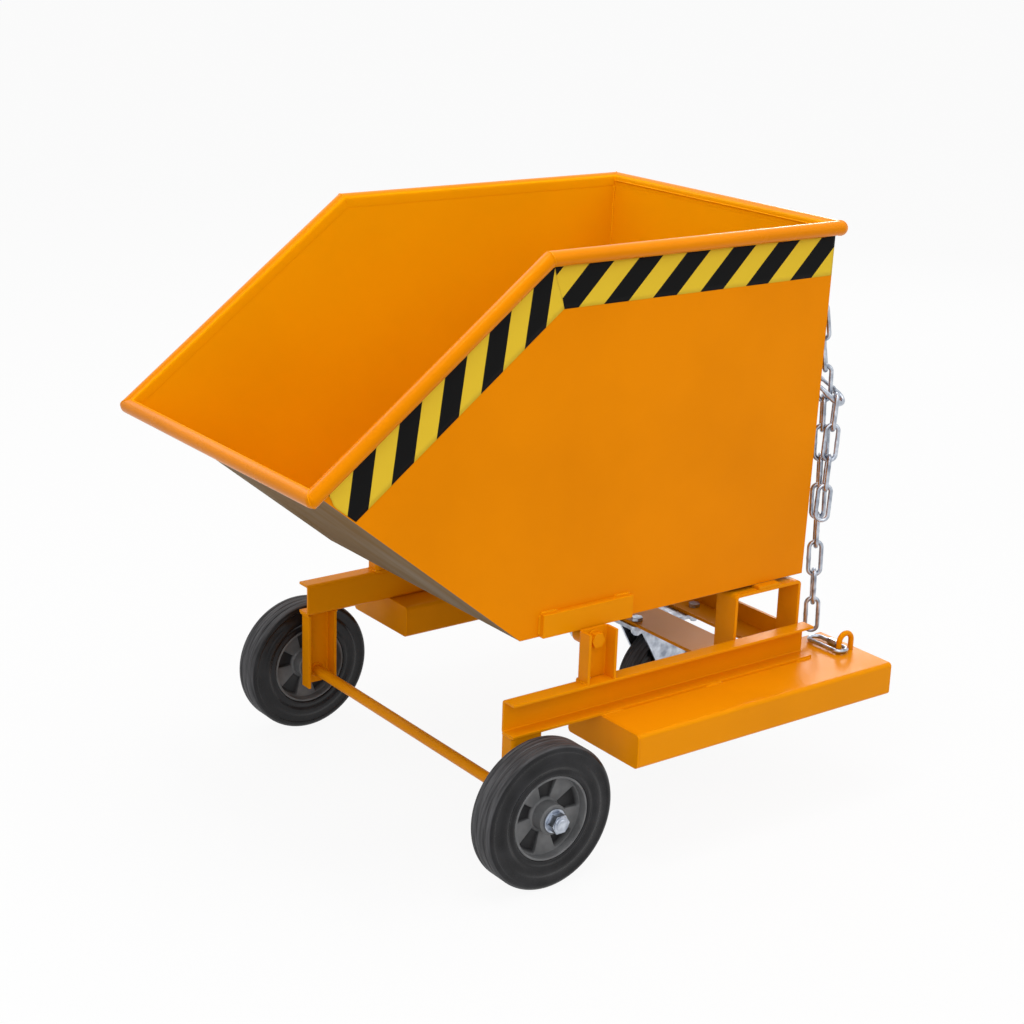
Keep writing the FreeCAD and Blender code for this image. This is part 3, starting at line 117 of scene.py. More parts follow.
def grid_faces(rows: int, columns: int, close_rows: bool, close_columns: bool) -> Array:
    """Quads between neighbours on a grid of points.

    Args:
        rows: Points in the first direction.
        columns: Points in the second direction.
        close_rows: Joins the last row to the first.
        close_columns: Joins the last column to the first.

    Returns:
        Vertex numbers, four to a face.
    """
    index = np.arange(rows * columns).reshape(rows, columns)
    if close_rows:
        index = np.vstack([index, index[:1]])
    if close_columns:
        index = np.hstack([index, index[:, :1]])
    corners = [index[:-1, :-1], index[1:, :-1], index[1:, 1:], index[:-1, 1:]]
    return np.stack(corners, axis=-1).reshape(-1, 4)


def rounded(corners: Array, passes: int = 2) -> Array:
    """Closed outline with cut corners: each pass puts points a quarter and three quarters along each side.

    Args:
        corners: Outline, one point a row.
        passes: How often the corners are cut.

    Returns:
        The smoother outline.
    """
    outline = corners
    for _ in range(passes):
        following = np.roll(outline, -1, axis=0)
        outline = np.stack([0.75 * outline + 0.25 * following,
                            0.25 * outline + 0.75 * following], axis=1).reshape(-1, outline.shape[1])
    return outline


@dataclass(frozen=True)
class Patch:
    """One surface: its points, its quads and any end caps."""

    points: Array
    quads: Array
    caps: tuple[Array, ...] = ()

    def faced_out(self) -> "Patch":
        """The same patch with its faces turned so that its volume is positive.

        Returns:
            The patch.
        """
        a, b, c, d = (self.points[self.quads[:, k]] for k in range(4))
        volume = np.sum(a * np.cross(b, c)) + np.sum(a * np.cross(c, d))
        for cap in self.caps:
            ring = self.points[cap]
            volume += np.sum(ring[0] * np.cross(ring[1:-1], ring[2:]))
        if volume >= 0:
            return self
        return Patch(self.points, self.quads[:, ::-1], tuple(cap[::-1] for cap in self.caps))


def carried_ring(path: Array, normal: Array, radii: Array, sides: int, closed: bool,
                 tall: Array | float = 1.0) -> Patch:
    """Ellipse carried along a flat path, square to it: path + radius * (cos * side + tall * sin * normal).

    Args:
        path: Points of the centre line.
        normal: Normal of the path's plane.
        radii: Radius at each point.
        sides: Points round the ellipse.
        closed: Joins the path's end to its start.
        tall: Its height along the normal, as a share of its width.

    Returns:
        The tube, with capped ends where it is open.
    """
    if closed:
        way = np.roll(path, -1, axis=0) - np.roll(path, 1, axis=0)
    else:
        way = np.gradient(path, axis=0)
    side = unit(np.cross(unit(way), normal))
    turn = around(sides)
    across = (radii[:, None] * np.cos(turn))[..., None] * side[:, None, :]
    upward = ((radii * tall)[:, None] * np.sin(turn))[..., None] * normal
    points = path[:, None, :] + across + upward
    quads = grid_faces(len(path), sides, closed, True)
    caps = () if closed else (np.arange(sides)[::-1], np.arange(sides) + (len(path) - 1) * sides)
    return Patch(points.reshape(-1, 3), quads, caps).faced_out()


def turned_ring(radius: Array, along: Array, centre: Array, segments: int) -> Patch:
    """Closed outline turned about the Y axis through a centre.

    Args:
        radius: Radius of each point of the outline.
        along: Its places along the axis, one to a row or one for each step.
        centre: Point on the axis.
        segments: Steps round the axis.

    Returns:
        The turned body.
    """
    points = about_y(radius[:, None], along, around(segments), centre)
    return Patch(points.reshape(-1, 3), grid_faces(len(radius), segments, True, True)).faced_out()


def long_ring(straight: float, bend: float, gap: float = 0.0) -> Array:
    """Centre line of a long ring: two half circles of the bend's radius joined by straight sides.

    Args:
        straight: Length of the straight sides.
        bend: Radius of the end bends.
        gap: Length left open in the middle of the second side.

    Returns:
        Places along and across the ring, starting beside the second side's middle.
    """
    turn = np.linspace(-np.pi / 2.0, np.pi / 2.0, BOW_POINTS)
    bow = np.stack([straight / 2.0 + bend * np.cos(turn), bend * np.sin(turn)], axis=1)
    run = np.linspace(straight / 2.0, -straight / 2.0, SIDE_POINTS)[1:-1]
    side = np.stack([run, np.full_like(run, bend)], axis=1)
    leg = np.linspace(gap / 2.0, straight / 2.0, LEG_POINTS)[:-1]
    first = np.stack([leg, np.full_like(leg, -bend)], axis=1)
    last = np.stack([-leg[::-1], np.full_like(leg, -bend)], axis=1)
    if gap == 0.0:
        last = last[:-1]
    return np.concatenate([first, bow, side, -bow, last])


class Model:
    """Puts patches into one mesh object that rides on a CAD body."""

    def __init__(self, name: str) -> None:
        """Start an empty piece of that name.

        Args:
            name: Name of the piece.
        """
        self.name = name
        self.points: list[Array] = []
        self.marks: list[Array] = []
        self.faces: list[list[int]] = []
        self.count = 0

    def add(self, patch: Patch, mark: Array | None = None) -> None:
        """Join a patch to the piece, with a value for its finish at each point.

        Args:
            patch: Surface to join.
            mark: The values; zero where there are none.
        """
        self.points.append(patch.points)
        self.marks.append(np.zeros(len(patch.points)) if mark is None else mark)
        self.faces.extend((patch.quads + self.count).tolist())
        self.faces.extend((cap + self.count).tolist() for cap in patch.caps)
        self.count += len(patch.points)

    def build(self, body: str, material: bpy.types.Material, slot: Slot | None, sharp: float = 40.0,
              stands_for: Names = ()) -> bpy.types.Object:
        """Make the object.

        Args:
            body: CAD body that it rides on.
            material: Finish.
            slot: Slot of the record, if it has one; not used.
            sharp: Angle in degrees above which an edge stays sharp.
            stands_for: CAD nodes that it replaces.

        Returns:
            The finished piece.
        """
        mesh = bpy.data.meshes.new(self.name)
        mesh.from_pydata(np.concatenate(self.points).tolist(), [], self.faces)
        mesh.polygons.foreach_set("use_smooth", np.ones(len(mesh.polygons), dtype=bool))
        layer = mesh.attributes.new("mark", "FLOAT", "POINT")
        layer.data.foreach_set("value", np.concatenate(self.marks).astype(np.float32))
        mesh.set_sharp_from_angle(angle=math.radians(sharp))
        mesh.materials.append(material)
        piece = bpy.data.objects.new(self.name, mesh)
        bpy.context.scene.collection.objects.link(piece)
        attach(piece, body)
        if stands_for:
            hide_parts(*stands_for)
        log.info("%s: %d faces on %s", self.name, len(self.faces), body)
        return piece


@dataclass(frozen=True)
class Grain:
    """Cloudy noise: features to the metre, octaves and any scale along each axis."""

    scale: float
    detail: float
    stretch: Point | None = None


Bumps = tuple[tuple[Grain, float], ...]


class Nodes:
    """A tree of shader nodes, with short ways to add and join them."""

    def __init__(self, tree: bpy.types.NodeTree) -> None:
        """Work on that tree.

        Args:
            tree: The tree.
        """
        self.tree = tree

    def add(self, kind: str, **values: float | Point) -> bpy.types.Node:
        """New node with values set on the sockets of those names.

        Args:
            kind: Type of the node.
            values: Constants, by the names of its sockets.

        Returns:
            The node.
        """
        node = self.tree.nodes.new(kind)
        self.give(node, values)
        return node

    @staticmethod
    def give(node: bpy.types.Node, values: dict[str, float | Point]) -> None:
        """Set constant sockets of a node, by their names."""
        for socket, value in values.items():
            node.inputs[socket.replace("_", " ")].default_value = value

    def join(self, source: Socket, target: Socket) -> None:
        """Link one socket to another."""
        self.tree.links.new(source, target)

    def work(self, kind: str, operation: str, *values: Socket | float | Point) -> bpy.types.Node:
        """New node of arithmetic.

        Args:
            kind: Type of the node.
            operation: What it works out.
            values: Sockets or constants, in the order of its inputs.

        Returns:
            The node.
        """
        node = self.add(kind)
        node.operation = operation
        for target, value in zip(node.inputs, values):
            if isinstance(value, Socket):
                self.join(value, target)
            else:
                target.default_value = value
        return node

    def value(self, operation: str, *values: Socket | float) -> Socket:
        """Result of arithmetic with single values."""
        return self.work("ShaderNodeMath", operation, *values).outputs["Value"]

    def span(self, source: Socket, low: float, high: float) -> Socket:
        """Value from zero to one stretched between two limits.

        Args:
            source: The value.
            low: Result at zero.
            high: Result at one.

        Returns:
            The stretched value.
        """
        node = self.add("ShaderNodeMapRange", To_Min=low, To_Max=high)
        self.join(source, node.inputs["Value"])
        return node.outputs["Result"]

    def seen(self) -> Socket:
        """One for camera, glossy and transmission rays and zero for the others.

        Returns:
            The value.
        """
        rays = self.add("ShaderNodeLightPath").outputs
        plain = self.value("MAXIMUM", rays["Is Camera Ray"], rays["Is Glossy Ray"])
        return self.value("MAXIMUM", plain, rays["Is Transmission Ray"])


class NodeSheet(Nodes):
    """A material's nodes."""

    mix_inputs: tuple[int, int, int] = (0, 6, 7)
    mix_result: int = 2

    def __init__(self, name: str) -> None:
        """Start a material of that name with its principled shader.

        Args:
            name: Name of the material.
        """
        self.material = bpy.data.materials.new(name)
        self.material.use_nodes = True
        super().__init__(self.material.node_tree)
        self.shader = self.tree.nodes["Principled BSDF"]
        coordinates = self.add("ShaderNodeTexCoord")
        self.place = coordinates.outputs["Object"]
        self.normal = coordinates.outputs["Normal"]

    def feed(self, socket: str, source: Socket) -> None:
        """Link a socket to the principled shader's socket of that name."""
        self.join(source, self.shader.inputs[socket])

    def set(self, **values: float | Colour) -> None:
        """Set constant sockets of the principled shader."""
        self.give(self.shader, values)

    def noise(self, grain: Grain) -> Socket:
        """Cloudy noise, from zero to one.

        Args:
            grain: Its scale, detail and stretch.

        Returns:
            The noise.
        """
        node = self.add("ShaderNodeTexNoise", Scale=grain.scale, Detail=grain.detail)
        place = self.place
        if grain.stretch is not None:
            mapping = self.add("ShaderNodeMapping", Scale=grain.stretch)
            self.join(place, mapping.inputs["Vector"])
            place = mapping.outputs["Vector"]
        self.join(place, node.inputs["Vector"])
        return node.outputs["Fac"]

    def ramp(self, source: Socket, stops: Pair, colours: Tones, steps: bool = False) -> Socket:
        """Two colours picked by a value.

        Args:
            source: Value from zero to one.
            stops: Places of the colours.
            colours: The colours.
            steps: Hard change between them.

        Returns:
            The colour.
        """
        node = self.add("ShaderNodeValToRGB")
        node.color_ramp.interpolation = "CONSTANT" if steps else "LINEAR"
        for element, place, colour in zip(node.color_ramp.elements, stops, colours):
            element.position = place
            element.color = (*colour, 1.0)
        self.join(source, node.inputs["Fac"])
        return node.outputs["Color"]

    def turned(self, way: Socket | Point, least: float) -> Socket:
        """One where the surface's normal has more than the least part along a way, zero elsewhere."""
        part = self.work("ShaderNodeVectorMath", "DOT_PRODUCT", self.normal, way)
        return self.value("GREATER_THAN", part.outputs["Value"], least)

    def towards(self, spot: Point) -> Socket:
        """Way from each point of the surface to a spot."""
        return self.work("ShaderNodeVectorMath", "SUBTRACT", spot, self.place).outputs["Vector"]

    def mark(self) -> Socket:
        """Value kept at each point of a new piece.

        Returns:
            The value.
        """
        node = self.add("ShaderNodeAttribute")
        node.attribute_name = "mark"
        return node.outputs["Fac"]

    def blend(self, share: Socket, first: Socket, second: Socket) -> Socket:
        """First colour where the share is zero, second where it is one.

        Args:
            share: Share of the second colour.
            first: First colour.
            second: Second colour.

        Returns:
            The blended colour.
        """
        node = self.add("ShaderNodeMix")
        node.data_type = "RGBA"
        for source, number in zip((share, first, second), self.mix_inputs):
            self.join(source, node.inputs[number])
        return node.outputs[self.mix_result]

    def bump(self, heights: list[tuple[Socket, float]]) -> None:
        """Rough the surface with heights, each with its depth in metres.

        Args:
            heights: Heights and their depths.
        """
        below = None
        for height, depth in heights:
            node = self.add("ShaderNodeBump", Strength=1.0, Distance=depth)
            self.join(height, node.inputs["Height"])
            if below is not None:
                self.join(below, node.inputs["Normal"])
            below = node.outputs["Normal"]
        self.feed("Normal", below)


@dataclass(frozen=True)
class Finish:
    """Looks of a surface: two clouded colours, a clouded roughness and fine bumps with their depths."""

    name: str
    colours: Tones
    bumps: Bumps
    specular: float = 0.5
    tint: Colour = (1.0, 1.0, 1.0)
    metal: float = 0.0
    cloud: Grain = Grain(4.0, 4.0)
    stops: Pair = (0.30, 0.62)
    wear: Grain = Grain(14.0, 5.0)
    rough: Pair = (0.28, 0.42)

    def colour(self, sheet: NodeSheet) -> Socket:
        """The clouded colour."""
        return sheet.ramp(sheet.noise(self.cloud), self.stops, self.colours)

    def roughness(self, sheet: NodeSheet) -> Socket:
        """The clouded roughness."""
        return sheet.span(sheet.noise(self.wear), *self.rough)

    def make(self) -> bpy.types.Material:
        """The finish's material.

        Returns:
            The material.
        """
        sheet = NodeSheet(self.name)
        sheet.set(Specular_IOR_Level=self.specular, Specular_Tint=(*self.tint, 1.0), Metallic=self.metal)
        sheet.feed("Base Color", self.colour(sheet))
        sheet.feed("Roughness", self.roughness(sheet))
        sheet.bump([(sheet.noise(grain), depth) for grain, depth in self.bumps])
        return sheet.material


@dataclass(frozen=True)
class OrangePaint(Finish):
    """Powder coat: a faintly clouded orange with a fine peel."""

    name: str = "orange_paint"
    colours: Tones = ((0.735, 0.250, 0.0008), (0.800, 0.275, 0.0010))
    specular: float = 0.10
    tint: Colour = (1.0, 0.50, 0.03)
    bumps: Bumps = ((Grain(9.0, 2.0), 0.0010), (Grain(520.0, 2.0), 0.00016))


@dataclass(frozen=True)
class TubePaint(OrangePaint):
    """The rim tube's powder coat: glossier, with colours darker and redder than the sheet's as painted shade
    on the round tube.
    """

    name: str = "orange_paint_gloss"
    # darker, redder copy of the orange: painted shade on the tube
    colours: Tones = ((0.655, 0.195, 0.0006), (0.715, 0.215, 0.0008))
    specular: float = 0.22
    rough: Pair = (0.24, 0.32)
    bumps: Bumps = ((Grain(9.0, 2.0), 0.0010), (Grain(520.0, 2.0), 0.00005))


@dataclass(frozen=True)
class SheetPaint(OrangePaint):
    """The skip's powder coat, with painted light inside the skip (a lighter, yellower copy of the paint) and,
    underneath, painted shade and floor reflection in dull grey-brown streaks.
    """

    name: str = "orange_paint_skip"
    colours: Tones = ((0.740, 0.220, 0.0006), (0.805, 0.244, 0.0008))
    specular: float = 0.07
    heart: Point = (0.05, 0.0, 0.75)
    # painted light: a lighter, yellower copy of the outer paint for the faces inside the skip
    inner_painted_light_colours: Tones = ((0.735, 0.298, 0.0008), (0.775, 0.318, 0.0010))
    # painted shade and painted floor reflection on the underside: dark grey-brown streaks
    underside_shade_colours: Tones = ((0.22, 0.140, 0.070), (0.27, 0.215, 0.155))
    underside_shade_streaks: Grain = Grain(5.0, 3.0, (0.7, 1.6, 0.7))
    underside_shade_stops: Pair = (0.30, 0.68)
    down: Point = (0.0, 0.0, -1.0)
    underside_shade_from: float = 0.3

    def colour(self, sheet: NodeSheet) -> Socket:
        """The outer colour, a lighter yellower copy as painted light on faces towards the skip's heart, and
        painted shade and reflection on those turned down.

        Args:
            sheet: Nodes of the material.

        Returns:
            The colour.
        """
        outer = super().colour(sheet)
        # painted light inside the skip: the lighter copy on faces towards its heart
        inner = sheet.ramp(sheet.noise(self.cloud), self.stops, self.inner_painted_light_colours)
        # painted underside shade and reflection on faces turned down, which also lose their specular
        underside_shade = sheet.ramp(sheet.noise(self.underside_shade_streaks), self.underside_shade_stops, self.underside_shade_colours)
        below = sheet.turned(self.down, self.underside_shade_from)
        sheet.feed("Specular IOR Level", sheet.span(below, self.specular, 0.0))
        inside = sheet.turned(sheet.towards(self.heart), 0.0)
        return sheet.blend(inside, sheet.blend(below, outer, underside_shade), inner)


@dataclass(frozen=True)
class ZincPlate(Finish):
    """Bright zinc with a blue cast, clouded light and dark."""

    name: str = "zinc_plate"
    colours: Tones = ((0.24, 0.27, 0.33), (0.60, 0.64, 0.71))
    metal: float = 1.0
    cloud: Grain = Grain(70.0, 3.0)
    stops: Pair = (0.30, 0.70)
    wear: Grain = Grain(60.0, 3.0)
    rough: Pair = (0.24, 0.40)
    bumps: Bumps = ((Grain(500.0, 2.0), 0.00006),)


@dataclass(frozen=True)
class TyreRubber(Finish):
    """Moulded black rubber: glossy on the sidewalls, greyer with wear lines on the tread."""

    name: str = "tyre_rubber"
    colours: Tones = ((0.006, 0.006, 0.007), (0.016, 0.016, 0.018))
    specular: float = 0.24
    cloud: Grain = Grain(26.0, 5.0)
    stops: Pair = (0.35, 0.70)
    rough: Pair = (0.24, 0.62)
    bumps: Bumps = ((Grain(900.0, 2.0), 0.00010),)
    tread_colours: Tones = ((0.022, 0.022, 0.024), (0.085, 0.085, 0.090))
    lines: Grain = Grain(16.0, 6.0, (1.0, 14.0, 1.0))
    line_stops: Pair = (0.35, 0.66)

    def colour(self, sheet: NodeSheet) -> Socket:
        """The sidewall's colour, and the tread's where the mark is one."""
        tread = sheet.ramp(sheet.noise(self.lines), self.line_stops, self.tread_colours)
        return sheet.blend(sheet.mark(), super().colour(sheet), tread)

    def roughness(self, sheet: NodeSheet) -> Socket:
        """Low on the sidewall, high where the mark is one."""
        return sheet.span(sheet.mark(), *self.rough)


@dataclass(frozen=True)
class WheelPlastic(Finish):
    """Grey moulded polymer with a soft grain, and near black painted shade in the pockets."""

    name: str = "wheel_plastic"
    colours: Tones = ((0.105, 0.107, 0.110), (0.165, 0.167, 0.171))
    specular: float = 0.30
    cloud: Grain = Grain(30.0, 5.0)
    stops: Pair = (0.35, 0.65)
    wear: Grain = Grain(80.0, 3.0)
    rough: Pair = (0.38, 0.58)
    bumps: Bumps = ((Grain(1200.0, 2.0), 0.00008),)
    # painted shade for the pockets between the spokes
    pocket_shade_colours: Tones = ((0.008, 0.008, 0.009), (0.016, 0.016, 0.017))

    def colour(self, sheet: NodeSheet) -> Socket:
        """The face's colour, and near black painted shade in the pockets where the mark is one."""
        deep = sheet.ramp(sheet.noise(self.cloud), self.stops, self.pocket_shade_colours)
        return sheet.blend(sheet.mark(), super().colour(sheet), deep)


@dataclass(frozen=True)
class TurnedSteel(Finish):
    """Turned steel with fine rings of tool marks."""

    name: str = "bush_steel"
    colours: Tones = ((0.30, 0.30, 0.31), (0.56, 0.56, 0.55))
    metal: float = 1.0
    cloud: Grain = Grain(40.0, 4.0, (1.0, 30.0, 1.0))
    stops: Pair = (0.35, 0.65)
    wear: Grain = Grain(40.0, 4.0, (1.0, 30.0, 1.0))
    rough: Pair = (0.25, 0.45)
    bumps: Bumps = ((Grain(40.0, 4.0, (1.0, 30.0, 1.0)), 0.00008),)


@dataclass(frozen=True)
class HazardTape(Finish):
    """Yellow and black slanting stripes printed on a film, laid out in metres on the strip's own map."""

    name: str = "hazard_tape"
    colours: Tones = ((0.74, 0.50, 0.030), (0.006, 0.006, 0.006))
    specular: float = 0.05
    stops: Pair = (0.0, 0.5)
    wear: Grain = Grain(50.0, 4.0)
    rough: Pair = (0.36, 0.52)
    bumps: Bumps = ((Grain(35.0, 3.0), 0.0006),)
    period: float = 0.100
    slant: float = 1.0

    def colour(self, sheet: NodeSheet) -> Socket:
        """Stripes: the fraction of (along + slant * across) / period picks one of the two colours.

        Args:
            sheet: Nodes of the material.

        Returns:
            The colour.
        """
        place = sheet.add("ShaderNodeSeparateXYZ")
        sheet.join(sheet.add("ShaderNodeUVMap").outputs["UV"], place.inputs["Vector"])
        along, across = place.outputs["X"], place.outputs["Y"]
        slid = sheet.value("MULTIPLY_ADD", across, self.slant, along)
        stripe = sheet.value("FRACT", sheet.value("MULTIPLY", slid, 1.0 / self.period))
        return sheet.ramp(stripe, self.stops, self.colours, steps=True)


class Finishes:
    """Every finish of the trolley, made once."""

    merge: float = 0.000002
    flat_angle: float = 0.3
    edge_angle: float = 35.0
    edge_steps: int = 2

    def __init__(self) -> None:
        """Make the materials."""
        self.of_slot = {
            Slot.PAINT: OrangePaint().make(),
            Slot.ZINC: ZincPlate().make(),
            Slot.RUBBER: TyreRubber().make(),
            Slot.PLASTIC: WheelPlastic().make(),
            Slot.STEEL: TurnedSteel().make(),
        }
        self.tape = HazardTape().make()
        self.sheet = SheetPaint().make()
        self.gloss = TubePaint().make()

    def of(self, slot: Slot) -> tuple[bpy.types.Material, Slot]:
        """The slot's material, with the slot."""
        return self.of_slot[slot], slot

    def dress(self, slot: Slot, edge: float, *nodes: str, material: bpy.types.Material | None = None) -> None:
        """Give CAD nodes their finish and broken edges.

        Args:
            slot: Finish.
            edge: Width of the broken edges; zero leaves them sharp.
            nodes: CAD nodes.
            material: Other make of that finish.
        """
        for node in nodes:
            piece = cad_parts[node]
            piece.data.materials.clear()
            piece.data.materials.append(self.of_slot[slot] if material is None else material)
            weld = piece.modifiers.new("joined", "WELD")
            weld.merge_threshold = self.merge
            flats = piece.modifiers.new("flats", "DECIMATE")
            flats.decimate_type = "DISSOLVE"
            flats.angle_limit = math.radians(self.flat_angle)
            if edge > 0:
                bevel = piece.modifiers.new("edges", "BEVEL")
                bevel.width = edge
                bevel.segments = self.edge_steps
                bevel.limit_method = "ANGLE"
                bevel.angle_limit = math.radians(self.edge_angle)
            normals = piece.modifiers.new("normals", "WEIGHTED_NORMAL")
            normals.keep_sharp = True
            log.info("%s: %s", node, slot.value)


@dataclass(frozen=True)
class Weld:
    """Bead of weld with a rippled top."""

    radius: float
    pitch: float = 0.0035
    sides: int = 10
    steps: int = 5
    least: int = 12
    swell: float = 0.10
    drift: Pair = (137.0, 50.0)
    blunt: float = 0.02
    askew: Point = (0.31, 0.52, 0.79)
    ring_swell: float = 0.12

    def line(self, start: Array, end: Array) -> Patch:
        """Straight bead: a round bar whose radius swells once each pitch and tapers at both ends.

        Args:
            start: First end.
            end: Second end.

        Returns:
            The bead.
        """
        length = float(np.linalg.norm(end - start))
        share = np.linspace(0.0, 1.0, max(self.least, int(length / self.pitch * self.steps)))
        run = share * length
        drift = np.sin(run * self.drift[0] + start[0] * self.drift[1])
        swell = 1.0 + self.swell * (np.sin(2.0 * np.pi * run / self.pitch) + drift)
        taper = np.sqrt(np.clip(np.minimum(run, length - run) / self.radius, self.blunt, 1.0))
        normal = unit(np.cross((end - start) / length, np.array(self.askew)))
        path = start + share[:, None] * (end - start)
        return carried_ring(path, normal, self.radius * swell * taper, self.sides, False)

    def ring(self, path: Array, normal: Array, ripples: int) -> Patch:
        """Bead round a closed flat path: its radius swells and shrinks in even ripples.

        Args:
            path: Points of the path, evenly round it.
            normal: Normal of the path's plane.
            ripples: How often the radius swells.

        Returns:
            The bead.
        """
        turn = around(len(path))
        radii = self.radius * (1.0 + self.ring_swell * np.sin(turn * ripples))
        return carried_ring(path, normal, radii, self.sides, True)


@dataclass
class Assembly:
    """Sub-assembly of the trolley, dressed in its finishes."""

    finishes: Finishes


@dataclass
class Skip(Assembly):
    """Sheet-steel skip with its rim of tube, hazard tape and welds."""

    body: str = "skip"
    sheets: Names = ("skip_wrap", "skip_side_left", "skip_side_right")
    tubes: Names = (
        "rim_tube_lip", "rim_tube_rear", "rim_tube_slope_left", "rim_tube_slope_right", "rim_tube_top_left",
        "rim_tube_top_right")
    bars: Names = (
        "bearing_bar_left", "bearing_bar_right", "pivot_sleeve_left", "pivot_sleeve_right")
    sheet_edge: float = 0.0006
    bar_edge: float = 0.0008
    half_width: float = 0.291
    sheet: float = 0.003
    knee: Pair = (0.135075, 1.010574)
    lip: Pair = (0.552825, 0.6955)
    heel: Pair = (-0.454922, 0.390)
    toe: Pair = (0.160575, 0.390)
    wall_top_x: float = -0.470022
    panel_top_x: float = -0.480917
    tube_r: float = 0.0125
    side_tube_y: float = 0.3005
    rear_tube_x: float = -0.479726
    bar_x: Pair = (-0.064925, 0.122075)
    bar_z: Pair = (0.390, 0.430)
    tape_grid: tuple[int, int] = (121, 9)
    tape_top: float = 0.0095
    tape_foot: float = 0.0825
    tape_extra: float = 0.005
    tape_lift: float = 0.0005
    tape_lap_lift: float = 0.0006
    tape_film: float = 0.0003
    tape_prints: Pair = (0.0480, 0.025)
    tape_laps: Pair = (0.004, 0.010)
    tape_ripple: float = 0.00015
    ripple_counts: Point = (61.0, 90.0, 17.0)
    cut_wave: Pair = (0.0006, 120.0)
    rear_gap: float = 0.0006
    rear_lean: float = 0.024
    lip_gap: float = 0.0205
    lip_swing: float = 0.0101
    lip_swing_at: Pair = (0.018, 0.045)
    seam: Weld = Weld(0.0022)
    seam_in: float = 0.0036
    seam_top: float = 1.000
    seam_toe: float = 0.001
    seam_lip: Pair = (0.016, 0.004)
    rail_seam: Weld = Weld(0.0014)
    rail_in: float = 0.0004
    rail_drop: float = 0.001
    mitre_weld: Weld = Weld(0.0010)
    mitre_points: int = 72
    mitre_ripples: int = 22
    bar_weld: Weld = Weld(0.0034, 0.0042)
    bar_ends: Pair = (0.002, 0.001)
    bar_runs: Pair = (0.034, 0.036)
    lip_rise: float = 0.012
    rim_profile: tuple[Pair, ...] = (
        (0.0003, -0.0130), (0.0005, -0.0020), (0.0003, 0.0080), (-0.0070, 0.0112), (-0.0024, -0.0125))
    rim_sharp: float = 60.0

    @property
    def fall(self) -> Array:
        """Direction of the sloping rim, from the knee to the lip."""
        return unit((self.lip[0] - self.knee[0], 0.0, self.lip[1] - self.knee[1]))

    def build(self) -> None:
        """Dress the sheets and tubes, then lay the tape and the welds."""
        self.finishes.dress(Slot.PAINT, self.sheet_edge, *self.sheets, material=self.finishes.sheet)
        self.finishes.dress(Slot.PAINT, 0.0, *self.tubes, material=self.finishes.gloss)
        self.finishes.dress(Slot.PAINT, self.bar_edge, *self.bars)
        for side in Side:
            self.lay_tape(side)
        self.weld_seams()
        self.weld_mitres()
        self.weld_bars()
        self.fill_rim()

    def strip(self, side: Side, way: Array, depth: Array, reach: tuple[Array, Array], lift: float,
              print_from: Pair) -> tuple[Array, Array]:
        """Strip of tape: knee + way * run + down * depth, on the side panel.

        Args:
            side: Side of the trolley.
            way: Direction from the knee, in X and Z.
            depth: Depths below the rim tube's axis.
            reach: Start and end of the run at each depth.
            lift: Height above the panel.
            print_from: Which way the print counts, and where it starts.

        Returns:
            Points on a grid and their places on the tape.
        """
        share = np.linspace(0.0, 1.0, self.tape_grid[0])[:, None]
        run = reach[0][None, :] * (1.0 - share) + reach[1][None, :] * share
        down = np.array([-abs(way[1]), -abs(way[0])])
        flat = np.array(self.knee) + run[..., None] * way + depth[None, :, None] * down
        first, second, third = self.ripple_counts
        ripple = self.tape_ripple * np.sin(run * first) * np.sin(depth * second + run * third)
        out = side.value * (self.half_width + lift + ripple)
        points = np.stack([flat[..., 0], out, flat[..., 1]], axis=-1)
        place = np.stack([side.value * print_from[0] * run - print_from[1], depth + 0.0 * run], axis=-1)
        return points, place

    def lay_tape(self, side: Side) -> None:
        """Two strips under the rim, cut at the knee, with the sloping one lapped over the level one.

        Args:
            side: Side of the trolley.
        """
        rows = np.linspace(self.tape_top, self.tape_foot, self.tape_grid[1])
        wide = np.linspace(self.tape_top, self.tape_foot + self.tape_extra, self.tape_grid[1])
        fall = self.fall[[0, 2]]
        half = math.atan2(-fall[1], fall[0]) / 2.0
        slope = math.atan2(self.lip[1] - self.toe[1], self.lip[0] - self.toe[0])
        level = (rows * math.tan(half) - self.tape_laps[0],
                 self.knee[0] - self.panel_top_x - self.rear_gap - rows * self.rear_lean)
        lip_end = math.dist(self.lip, self.knee) - self.lip_gap + self.lip_swing * smooth_step(
            wide, *self.lip_swing_at)
        wave, count = self.cut_wave
        sloping = (wide * math.tan(half) - self.tape_laps[1] - wave * np.sin(wide * count),
                   lip_end - wide / math.tan(2.0 * half + slope))
        over = self.tape_lift + self.tape_lap_lift
        strips = ((np.array([-1.0, 0.0]), rows, level, self.tape_lift, (1.0, self.tape_prints[0]), "level"),
                  (fall, wide, sloping, over, (-1.0, self.tape_prints[1]), "sloping"))
        for way, depth, reach, lift, print_from, word in strips:
            points, place = self.strip(side, way, depth, reach, lift, print_from)
            self.stick(f"hazard_tape_{word}_{side.word}", side, points.reshape(-1, 3), place.reshape(-1, 2))

    def stick(self, name: str, side: Side, points: Array, place: Array) -> None:
        """Film of tape that faces outward, with its print laid on it.

        Args:
            name: Name of the piece.
            side: Side of the trolley.
            points: Points of the grid.
            place: Their places on the tape.
        """
        quads = grid_faces(*self.tape_grid, False, False)
        a, b, c = points[quads[0, :3]]
        if np.cross(b - a, c - a)[1] * side.value < 0:
            quads = quads[:, ::-1]
        model = Model(name)
        model.add(Patch(points, quads))
        piece = model.build(self.body, self.finishes.tape, None)
        layer = piece.data.uv_layers.new(name="tape")
        corner = np.empty(len(piece.data.loops), dtype=np.int32)
        piece.data.loops.foreach_get("vertex_index", corner)
        layer.data.foreach_set("uv", place[corner].astype(np.float32).ravel())
        film = piece.modifiers.new("film", "SOLIDIFY")
        film.thickness = self.tape_film
        film.offset = -1.0

